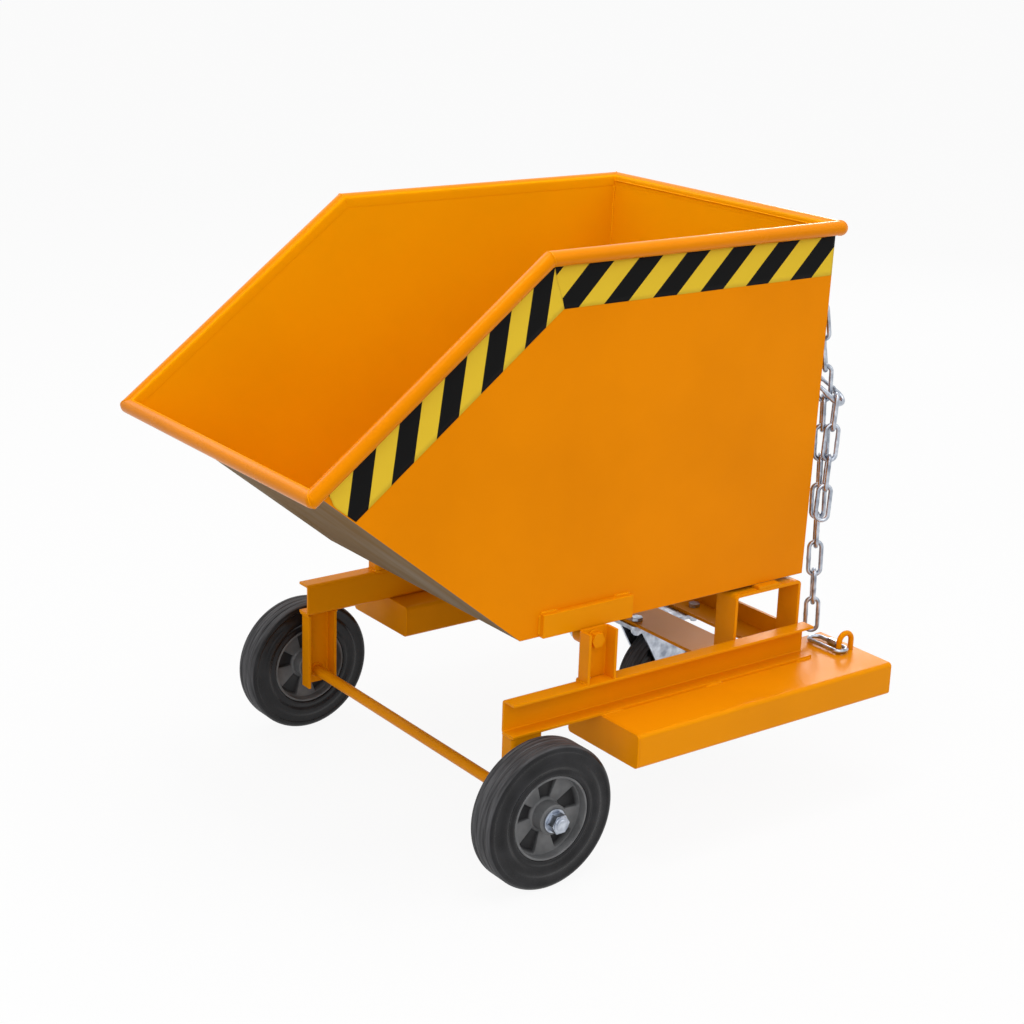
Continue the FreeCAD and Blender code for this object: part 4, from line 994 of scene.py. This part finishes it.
    def weld_seams(self) -> None:
        """Fillet beads inside, where the folded sheet meets the side panels and the rear rail."""
        inner = self.half_width - self.sheet
        corners = ((self.wall_top_x + self.seam_in, self.seam_top),
                   (self.heel[0] + self.seam_in, self.heel[1] + self.seam_in),
                   (self.toe[0] - self.seam_toe, self.toe[1] + self.seam_in),
                   (self.lip[0] - self.seam_lip[0], self.lip[1] + self.seam_lip[1]))
        model = Model("skip_seams")
        for side in Side:
            ends = [np.array([x, side.value * inner, z]) for x, z in corners]
            for start, end in zip(ends, ends[1:]):
                model.add(self.seam.line(start, end))
        rail_x = self.rear_tube_x + self.tube_r + self.rail_in
        rail = np.array([rail_x, inner, self.knee[1] - self.rail_drop])
        model.add(self.rail_seam.line(rail * MIRROR, rail))
        model.build(self.body, self.finishes.sheet, Slot.PAINT)

    def weld_mitres(self) -> None:
        """Ring of weld round each mitred corner of the rim tube."""
        model = Model("rim_welds")
        for side in Side:
            y = side.value * self.side_tube_y
            outward = side.value * Y_AXIS
            corners = (([self.knee[0], y, self.knee[1]], X_AXIS, self.fall),
                       ([self.lip[0], y, self.lip[1]], self.fall, -outward),
                       ([self.rear_tube_x, y, self.knee[1]], outward, X_AXIS))
            for centre, first, second in corners:
                model.add(self.mitre(np.array(centre), first, second))
        model.build(self.body, *self.finishes.of(Slot.PAINT))

    def mitre(self, centre: Array, first: Array, second: Array) -> Patch:
        """Ring where two tubes meet: the tube's circle slid along its axis to the plane that halves them.

        Args:
            centre: Corner of the tubes' axes.
            first: Direction of the first tube.
            second: Direction of the second tube.

        Returns:
            The bead.
        """
        split = unit(first + second)
        side = unit(np.cross(first, second))
        out = np.cross(side, first)
        turn = around(self.mitre_points)[:, None]
        ring = self.tube_r * (np.cos(turn) * side + np.sin(turn) * out)
        slide = -(ring @ split) / (first @ split)
        cut = ring + slide[:, None] * first
        ball = self.tube_r * unit(cut)
        path = centre + np.where((cut @ (first - second))[:, None] > 0.0, ball, cut)
        return self.mitre_weld.ring(path, split, self.mitre_ripples)

    def weld_bars(self) -> None:
        """Beads at the ends and along parts of the top of each bearing bar."""
        model = Model("bar_welds")
        rear, front = self.bar_x
        low, high = self.bar_z
        runs = [((x, low + self.bar_ends[0]), (x, high - self.bar_ends[1])) for x in self.bar_x]
        runs.append(((rear, high), (rear + self.bar_runs[0], high)))
        runs.append(((front - self.bar_runs[1], high), (front, high)))
        for side in Side:
            y = side.value * self.half_width
            for run in runs:
                model.add(self.bar_weld.line(*(np.array([x, y, z]) for x, z in run)))
        model.build(self.body, *self.finishes.of(Slot.PAINT))

    def fill_rim(self) -> None:
        """Smooth edge from the sheet up over the tube's inner half: a profile carried round the mouth.

        At each corner a point of the profile lies where its depths from both neighbouring sheets agree best.
        """
        fall = self.fall
        slope = unit((self.lip[0] - self.toe[0], 0.0, self.lip[1] - self.toe[1] + self.lip_rise))
        beyond = np.array([-fall[2], 0.0, fall[0]])
        under = np.array([-slope[2], 0.0, slope[0]])
        sides = [(-Y_AXIS, Z_AXIS), (-Y_AXIS, beyond), (under, slope), (Y_AXIS, beyond), (Y_AXIS, Z_AXIS),
                 (X_AXIS, Z_AXIS)]
        near = [np.array([x, self.side_tube_y, z]) for x, z in (
            (self.rear_tube_x, self.knee[1]), self.knee, self.lip)]
        corners = near + [p * MIRROR for p in near[::-1]]
        profile = rounded(np.array(self.rim_profile) + np.array([self.tube_r, 0.0]))
        depths = np.concatenate([profile, profile], axis=1).T
        points = np.concatenate([
            corner + np.linalg.lstsq(np.array([*sides[k - 1], *sides[k]]), depths, rcond=None)[0].T
            for k, corner in enumerate(corners)])
        model = Model("rim_seam")
        model.add(Patch(points, grid_faces(len(corners), len(profile), True, True)).faced_out())
        model.build(self.body, self.finishes.sheet, Slot.PAINT, self.rim_sharp)


@dataclass
class Chassis(Assembly):
    """Channels, posts, fork pockets, cross members, rests and pivots."""

    body: str = "chassis"
    frame_nodes: Names = (
        "main_channel_left", "main_channel_right", "pivot_post_left", "pivot_post_right", "wheel_post_left",
        "wheel_post_right", "fork_pocket_left", "fork_pocket_right", "pocket_front_plates",
        "front_cross_bar", "rear_cross_angle", "rear_rest_left", "rear_rest_right", "rest_pads", "chain_eye",
        "pivot_bolts", "pivot_washers", "axle_bar", "axle_spacers")
    zinc_nodes: Names = ("axle_nuts", "axle_washers", "pivot_nuts", "quick_link_nut")
    paint_edge: float = 0.0008
    zinc_edge: float = 0.0006
    flange_y: float = 0.3365
    web_y: float = 0.3045
    pocket_top: float = 0.2443
    channel_top: float = 0.3045
    post_y: float = 0.3345
    pivot_x: Pair = (-0.0079, 0.0521)
    wheel_x: Pair = (0.1401, 0.2001)
    stitches: tuple[Pair, ...] = ((-0.024, 0.020), (-0.247, -0.209), (-0.457, -0.425))
    stitch: Weld = Weld(0.0028, 0.004)
    axle: Pair = (0.170075, 0.125)
    axle_weld: Weld = Weld(0.0026)
    axle_weld_r: float = 0.0112
    axle_weld_y: float = 0.3290
    axle_weld_points: int = 60
    axle_weld_ripples: int = 16
    nut_face: float = 0.4293
    collar: tuple[Pair, ...] = ((-0.001, 0.0142), (0.0012, 0.0142), (0.0022, 0.0134), (0.0026, 0.0116))
    thread: tuple[Pair, ...] = ((0.0016, 0.0103), (0.0031, 0.0103), (0.0041, 0.0090))
    axle_sides: int = 48
    axle_sharp: float = 30.0

    def build(self) -> None:
        """Dress the nodes and lay the welds."""
        self.finishes.dress(Slot.PAINT, self.paint_edge, *self.frame_nodes)
        self.finishes.dress(Slot.ZINC, self.zinc_edge, *self.zinc_nodes)
        self.weld()
        self.end_axle()

    def end_axle(self) -> None:
        """Collar of each lock nut and the bright end of the axle: circles carried along the axle."""
        model = Model("axle_ends")
        for side in Side:
            for outline in (self.collar, self.thread):
                places, radii = np.array(outline).T
                path = np.stack([np.full_like(places, self.axle[0]), side.value * (self.nut_face + places),
                                 np.full_like(places, self.axle[1])], axis=1)
                model.add(carried_ring(path, Z_AXIS, radii, self.axle_sides, False))
        model.build(self.body, *self.finishes.of(Slot.ZINC), self.axle_sharp)

    def weld(self) -> None:
        """Stitches along the channels, beads at the posts' feet and rings round the axle."""
        model = Model("chassis_welds")
        low, high = self.pocket_top, self.channel_top
        turn = around(self.axle_weld_points)
        centre = np.array([self.axle[0], 0.0, self.axle[1]])
        for side in Side:
            flange, web, post = (side.value * y for y in (self.flange_y, self.web_y, self.post_y))
            runs = [((rear, flange, low), (front, flange, low)) for rear, front in self.stitches]
            runs += [((x, web, high), (x, post, high)) for x in self.pivot_x]
            runs.append(((self.pivot_x[0], web, high), (self.pivot_x[1], web, high)))
            runs += [((x, web, low), (x, post, low)) for x in self.wheel_x]
            for start, end in runs:
                model.add(self.stitch.line(np.array(start), np.array(end)))
            ring = about_y(self.axle_weld_r, side.value * self.axle_weld_y, turn, centre)
            model.add(self.axle_weld.ring(ring, Y_AXIS, self.axle_weld_ripples))
        model.build(self.body, *self.finishes.of(Slot.PAINT))


@dataclass
class Wheel(Assembly):
    """Solid tyre on a moulded rim, turned about the Y axis."""

    tyre: str
    rim: str
    body: str
    segments: int = 144
    sidewall: tuple[Pair, ...] = (
        (0.00, 0.84), (0.02, 0.93), (0.10, 0.955), (0.16, 0.91), (0.21, 0.89), (0.27, 0.95), (0.33, 1.0),
        (0.43, 1.0), (0.50, 0.965), (0.55, 0.915), (0.66, 0.895), (0.77, 0.905), (0.80, 0.95), (0.88, 0.94),
        (0.955, 0.86), (1.0, 0.72), (1.0, 0.60))
    grooves: tuple[float, ...] = (0.46, 0.0)
    groove_half: float = 0.022
    groove_depth: float = 0.0012
    tread_from: float = 0.484
    tread_blend: float = 0.002
    tyre_sharp: float = 60.0
    bush_edge: float = 0.0003

    def outline(self, seat: float, outer: float, half: float) -> Array:
        """Closed outline of the tyre: sidewall, grooved tread and the other sidewall.

        Args:
            seat: Radius of the rim's seat.
            outer: Radius of the tread.
            half: Half of the tyre's width.

        Returns:
            Radius and place along the axle, one point a row.
        """
        wall = np.array(self.sidewall)
        near = np.stack([seat + wall[:, 0] * (outer - seat), wall[:, 1] * half], axis=1)
        places = sorted({s * g for g in self.grooves for s in (1, -1)}, reverse=True)
        cut = [[(outer, g + 2 * self.groove_half), (outer - self.groove_depth, g + self.groove_half),
                (outer - self.groove_depth, g - self.groove_half), (outer, g - 2 * self.groove_half)]
               for g in places]
        tread = np.array(cut).reshape(-1, 2) * np.array([1.0, half])
        far = near[::-1] * np.array([1.0, -1.0])
        return rounded(np.concatenate([near, tread, far]))

    def build_tyre(self) -> None:
        """Turn the tyre in place of its CAD node."""
        centre, half = middle_and_half(self.tyre)
        seat = middle_and_half(self.rim)[1][0]
        outline = self.outline(seat, half[0], half[1])
        model = Model(f"{self.tyre}_moulded")
        start = self.tread_from * (centre[2] + half[2])
        tread = smooth_step(outline[:, 0], start, start + self.tread_blend)
        model.add(turned_ring(outline[:, 0], outline[:, 1:], centre, self.segments),
                  np.repeat(tread, self.segments))
        model.build(self.body, *self.finishes.of(Slot.RUBBER), self.tyre_sharp, (self.tyre,))


@dataclass
class FrontWheel(Wheel):
    """Front wheel with wedge-shaped pockets sunk between the spokes of its rim."""

    side: Side = Side.LEFT
    spokes: int = 5
    pocket_half: float = 17.0
    pocket_edge: float = 1.4
    pocket_in: Pair = (0.029, 0.0315)
    pocket_out: Pair = (0.063, 0.066)
    pocket_floor: float = 0.003
    hub_corners: tuple[Pair, ...] = (
        (0.01408, 0.032), (0.0238, 0.032), (0.0259, 0.0298), (0.0261, 0.0085), (0.029, 0.0065))
    barrel_corners: tuple[Pair, ...] = (
        (0.0645, 0.011), (0.0676, 0.0122), (0.0683, 0.015), (0.0685, 0.0248), (0.0693, 0.026))
    hub_radii: tuple[float, ...] = (0.01408, 0.0238, 0.0252, 0.0259, 0.0261, 0.0268)
    barrel_radii: tuple[float, ...] = (0.0663, 0.0676, 0.0683, 0.0685, 0.0693)
    barrel_half: float = 0.026
    seat_edge: float = 0.001
    spoke_points: int = 16
    rim_points: int = 360
    rim_sharp: float = 38.0

    def build(self) -> None:
        """Make the tyre and the rim and dress the bush."""
        self.build_tyre()
        self.build_rim()
        self.finishes.dress(Slot.STEEL, self.bush_edge, f"front_bush_{self.side.word}")

    def section(self, seat: float) -> tuple[Array, Array]:
        """Half of the rim's section, from its bore to the tyre's seat.

        Args:
            seat: Radius of the seat.

        Returns:
            Radii, and the height of the spoke's face at each.
        """
        edge = ((seat - self.seat_edge, self.barrel_half), (seat, self.barrel_half - self.seat_edge))
        corners = np.array([*self.hub_corners, *self.barrel_corners, *edge])
        spoke = np.linspace(self.hub_corners[-1][0], self.barrel_corners[0][0], self.spoke_points)
        radius = np.concatenate([self.hub_radii, spoke, self.barrel_radii, corners[-2:, 0]])
        return radius, np.interp(radius, *corners.T)

    def pockets(self, radius: Array) -> Array:
        """How far each point of a face is sunk between the spokes.

        Args:
            radius: Radii of the section.

        Returns:
            Shares from zero to one, for each radius and each step round.
        """
        step = 2.0 * np.pi / self.spokes
        apart = np.abs((around(self.rim_points) - np.pi / 2.0 + step / 2.0) % step - step / 2.0)
        wedge = 1.0 - smooth_step(apart, math.radians(self.pocket_half - self.pocket_edge),
                                  math.radians(self.pocket_half + self.pocket_edge))
        along = smooth_step(radius, *self.pocket_in) * (1.0 - smooth_step(radius, *self.pocket_out))
        return along[:, None] * wedge

    def build_rim(self) -> None:
        """Mould the rim: its section carried round, with pockets sunk in both faces."""
        centre, half = middle_and_half(self.rim)
        radius, face = self.section(half[0])
        sunk = self.pockets(radius)
        outer = face[:, None] * (1.0 - sunk) + self.pocket_floor * sunk
        along = self.side.value * np.concatenate([outer, -outer[::-1]])
        model = Model(f"{self.rim}_moulded")
        # the mark, how far each point is sunk, picks the painted pocket shade of the plastic
        model.add(turned_ring(np.concatenate([radius, radius[::-1]]), along, centre, self.rim_points),
                  np.concatenate([sunk, sunk[::-1]]).ravel())
        model.build(self.body, *self.finishes.of(Slot.PLASTIC), self.rim_sharp, (self.rim,))


@dataclass
class Castor(Wheel):
    """Swivel castor under the rear of the chassis."""

    zinc_nodes: Names = (
        "castor_plate", "castor_bolts", "castor_nuts", "castor_swivel_ring", "castor_kingpin", "castor_fork",
        "castor_axle_bolt", "castor_axle_nut")
    rim_edge: float = 0.001
    zinc_edge: float = 0.0007

    def build(self) -> None:
        """Make the tyre and dress the rest."""
        self.build_tyre()
        self.finishes.dress(Slot.PLASTIC, self.rim_edge, self.rim)
        self.finishes.dress(Slot.STEEL, self.bush_edge, "castor_bush")
        self.finishes.dress(Slot.ZINC, self.zinc_edge, *self.zinc_nodes)


@dataclass
class LockChain(Assembly):
    """Welded chain that locks the skip down, its snap hook and the loose tail."""

    body: str = "skip"
    wire: float = 0.004
    wire_sides: int = 14
    weld_swell: float = 0.11
    weld_reach: float = 0.0035
    link_sharp: float = 60.0
    bend: float = 0.011
    straight: float = 0.0412
    step: float = 0.0546
    count: int = 13
    held: int = 4
    hung: Point = (-0.495214, 0.236, 0.9695)
    hang: float = 0.0233
    upper_way: Point = (-0.008, 0.036, -0.2184)
    lower_way: Point = (-0.002, 0.0, -0.0546)
    turn: float = 53.0
    quarter: float = 90.0
    tail_count: int = 4
    tail_way: Point = (0.016, 0.006, -0.1638)
    tail_turn: float = 143.0
    tail_seat: float = 0.021
    tail_lift: float = 0.0023
    pitch: float = 0.0552
    hook_along: Point = (-0.62502, 0.47099, -0.62251)
    hook_across: Point = (0.74423, 0.60014, -0.29317)
    hook_straight: float = 0.044
    hook_bend: float = 0.014
    hook_drop: float = 0.005
    hook_reach: float = 0.0085
    hook_swell: float = 0.42
    hook_swell_at: Pair = (-0.010, 0.006)
    hook_sides: int = 16
    hook_sharp: float = 50.0
    gate_edge: float = 0.0005
    gate_length: float = 0.0264
    play: float = 0.0005

    def build(self) -> None:
        """Make the links and the hook, and dress the other pieces."""
        upper, lower = unit(self.upper_way), unit(self.lower_way)
        top = np.array(self.hung) + upper * self.hang
        link = top + upper * (self.step * (self.held - 0.5)) + lower * (self.step * 0.5)
        turns = [self.turn * min(i / self.held, 1.0) + self.quarter * (i % 2) for i in range(self.count)]
        hanging = Model("lock_chain_links")
        self.strand(hanging, top, upper, turns[:self.held])
        self.strand(hanging, link, lower, turns[self.held:])
        hanging.build(self.body, *self.finishes.of(Slot.ZINC), self.link_sharp, ("lock_chain",))
        grip = link - np.array([0.0, 0.0, self.hook_drop])
        along, across = unit(self.hook_along), unit(self.hook_across)
        centre = grip + along * self.hook_reach
        self.hook(centre, along, across)
        seat = centre + across * self.hook_bend + along * self.tail_seat
        tail_top = seat + np.array([0.0, 0.0, self.wire + self.tail_lift - self.pitch / 2.0])
        turns = [self.tail_turn + self.quarter * i for i in range(self.tail_count)]
        loose = Model("chain_tail_links")
        self.strand(loose, tail_top, unit(self.tail_way), turns)
        loose.build(self.body, *self.finishes.of(Slot.ZINC), self.link_sharp, ("chain_tail",))
        self.finishes.dress(Slot.ZINC, 0.0, "chain_anchor", "quick_link")
        self.finishes.dress(Slot.ZINC, self.gate_edge, "snap_hook_gate")

    def strand(self, model: Model, top: Array, way: Array, turns: list[float]) -> None:
        """Links in a row, each a long ring of wire with a swollen weld on one side.

        Args:
            model: Piece that the links join.
            top: Middle of the first link.
            way: Direction of the strand.
            turns: Each link's turn about the strand, in degrees.
        """
        flat = long_ring(self.straight, self.bend)
        from_weld = np.hypot(flat[:, 0], flat[:, 1] + self.bend)
        radii = self.wire * (1.0 + self.weld_swell * np.exp(-(from_weld / self.weld_reach) ** 2))
        for i, turn in enumerate(turns):
            facing = np.array([math.cos(math.radians(turn)), math.sin(math.radians(turn)), 0.0])
            normal = unit(facing - way * (facing @ way))
            across = np.cross(normal, way)
            path = top + way * (self.step * i) + flat[:, :1] * way + flat[:, 1:] * across
            model.add(carried_ring(path, normal, radii, self.wire_sides, True))

    def hook(self, centre: Array, along: Array, across: Array) -> None:
        """Snap hook, open where its gate closes: round at its upper bend, forged deeper below it.

        Args:
            centre: Middle of the hook.
            along: Its long direction.
            across: From the gate to the near side.
        """
        flat = long_ring(self.hook_straight, self.hook_bend, self.gate_length + 2.0 * self.play)
        normal = np.cross(along, across)
        tall = 1.0 + self.hook_swell * smooth_step(flat[:, 0], *self.hook_swell_at)
        sunk = self.wire * (tall - 1.0)[:, None] * normal
        path = centre + flat[:, :1] * along + flat[:, 1:] * across + sunk
        model = Model("snap_hook_body")
        radii = np.full(len(flat), self.wire)
        model.add(carried_ring(path, normal, radii, self.hook_sides, False, tall))
        model.build(self.body, *self.finishes.of(Slot.ZINC), self.hook_sharp, ("snap_hook",))


@dataclass
class Studio:
    """White floor, soft light and the camera."""

    eye: Point = (1.954635, 2.65856, 1.57535)
    target: Point = (-0.179925, 0.0, 0.45)
    yaw: float = -0.033
    pitch: float = 0.004
    roll: float = 0.044
    focus: float = 1984.84
    image: float = 1024.0
    sensor: float = 36.0
    floor_size: float = 60.0
    floor_points: int = 9
    floor_drop: float = 0.0005
    floor_white: float = 0.72
    floor_rough: float = 0.9
    ambient: float = 0.68
    glow: float = 0.92
    lamps: tuple[tuple[Point, float, float], ...] = (
        ((2.4, 3.0, 2.6), 2.6, 36.0), ((0.1, 0.3, 3.2), 1.8, 36.0), ((-1.8, 2.9, 3.0), 2.4, 18.0),
        ((0.4, -2.8, 3.4), 2.4, 20.0), ((-4.0, -3.0, 2.25), 0.8, 30.0), ((0.9, 0.2, 3.6), 0.35, 12.0))
    aim: Point = (0.0, 0.0, 0.5)

    def build(self) -> None:
        """Set the stage."""
        self.set_camera()
        self.set_world()
        self.lay_floor()
        for number, (place, size, power) in enumerate(self.lamps):
            self.hang_lamp(f"soft_lamp_{number}", place, size, power)
        bpy.context.scene.view_settings.view_transform = "Standard"

    def set_camera(self) -> None:
        """Camera at the photograph's eye, aimed at the target and then turned by yaw, pitch and roll."""
        eye = np.array(self.eye)
        ahead = unit(np.array(self.target) - eye)
        right = unit(np.cross(ahead, Z_AXIS))
        up = np.cross(right, ahead)
        ahead, right = swung(ahead, right, self.yaw)
        ahead, up = swung(ahead, up, self.pitch)
        right, up = swung(right, up, self.roll)
        data = bpy.data.cameras.new("camera")
        data.sensor_width = self.sensor
        data.lens = self.focus * self.sensor / self.image
        camera = bpy.data.objects.new("camera", data)
        columns = np.column_stack([right, up, -ahead])
        camera.matrix_world = Matrix.Translation(Vector(eye)) @ Matrix(columns.tolist()).to_4x4()
        bpy.context.scene.collection.objects.link(camera)
        bpy.context.scene.camera = camera

    def set_world(self) -> None:
        """White to the eye and in reflections, and an even soft light otherwise."""
        world = bpy.data.worlds.new("studio")
        bpy.context.scene.world = world
        world.use_nodes = True
        nodes = Nodes(world.node_tree)
        back = nodes.tree.nodes["Background"]
        back.inputs["Color"].default_value = (1.0, 1.0, 1.0, 1.0)
        nodes.join(nodes.span(nodes.seen(), self.ambient, 1.0), back.inputs["Strength"])

    def lay_floor(self) -> None:
        """Flat white floor that glows to the eye and still takes the shadow."""
        edge = np.linspace(-self.floor_size / 2.0, self.floor_size / 2.0, self.floor_points)
        x, y = np.meshgrid(edge, edge, indexing="ij")
        points = np.stack([x, y, np.full_like(x, -self.floor_drop)], axis=-1).reshape(-1, 3)
        mesh = bpy.data.meshes.new("floor")
        quads = grid_faces(self.floor_points, self.floor_points, False, False)
        mesh.from_pydata(points.tolist(), [], quads.tolist())
        sheet = NodeSheet("floor_white")
        white = self.floor_white
        sheet.set(Base_Color=(white, white, white, 1.0), Roughness=self.floor_rough, Specular_IOR_Level=0.0)
        share = sheet.value("MULTIPLY", sheet.seen(), self.glow)
        glow = sheet.add("ShaderNodeEmission")
        mix = sheet.add("ShaderNodeMixShader")
        sheet.join(share, mix.inputs["Fac"])
        sheet.join(sheet.shader.outputs["BSDF"], mix.inputs[1])
        sheet.join(glow.outputs["Emission"], mix.inputs[2])
        sheet.join(mix.outputs["Shader"], sheet.tree.nodes["Material Output"].inputs["Surface"])
        mesh.materials.append(sheet.material)
        floor = bpy.data.objects.new("floor", mesh)
        bpy.context.scene.collection.objects.link(floor)

    def hang_lamp(self, name: str, place: Point, size: float, power: float) -> None:
        """Square soft lamp aimed at the trolley.

        Args:
            name: Name of the lamp.
            place: Where it hangs.
            size: Width of the square.
            power: Power in watts.
        """
        data = bpy.data.lights.new(name, "AREA")
        data.size = size
        data.energy = power
        lamp = bpy.data.objects.new(name, data)
        lamp.location = place
        lamp.rotation_euler = (Vector(self.aim) - Vector(place)).to_track_quat("-Z", "Y").to_euler()
        bpy.context.scene.collection.objects.link(lamp)


def main() -> None:
    """Build the studio and the trolley."""
    logging.basicConfig(level=logging.INFO, format="%(message)s")
    Studio().build()
    finishes = Finishes()
    Skip(finishes).build()
    Chassis(finishes).build()
    for side in Side:
        names = (f"front_{kind}_{side.word}" for kind in ("tyre", "rim", "wheel"))
        FrontWheel(finishes, *names, side=side).build()
    Castor(finishes, "castor_tyre", "castor_rim", "castor_wheel").build()
    LockChain(finishes).build()


if __name__ == "__main__":
    main()
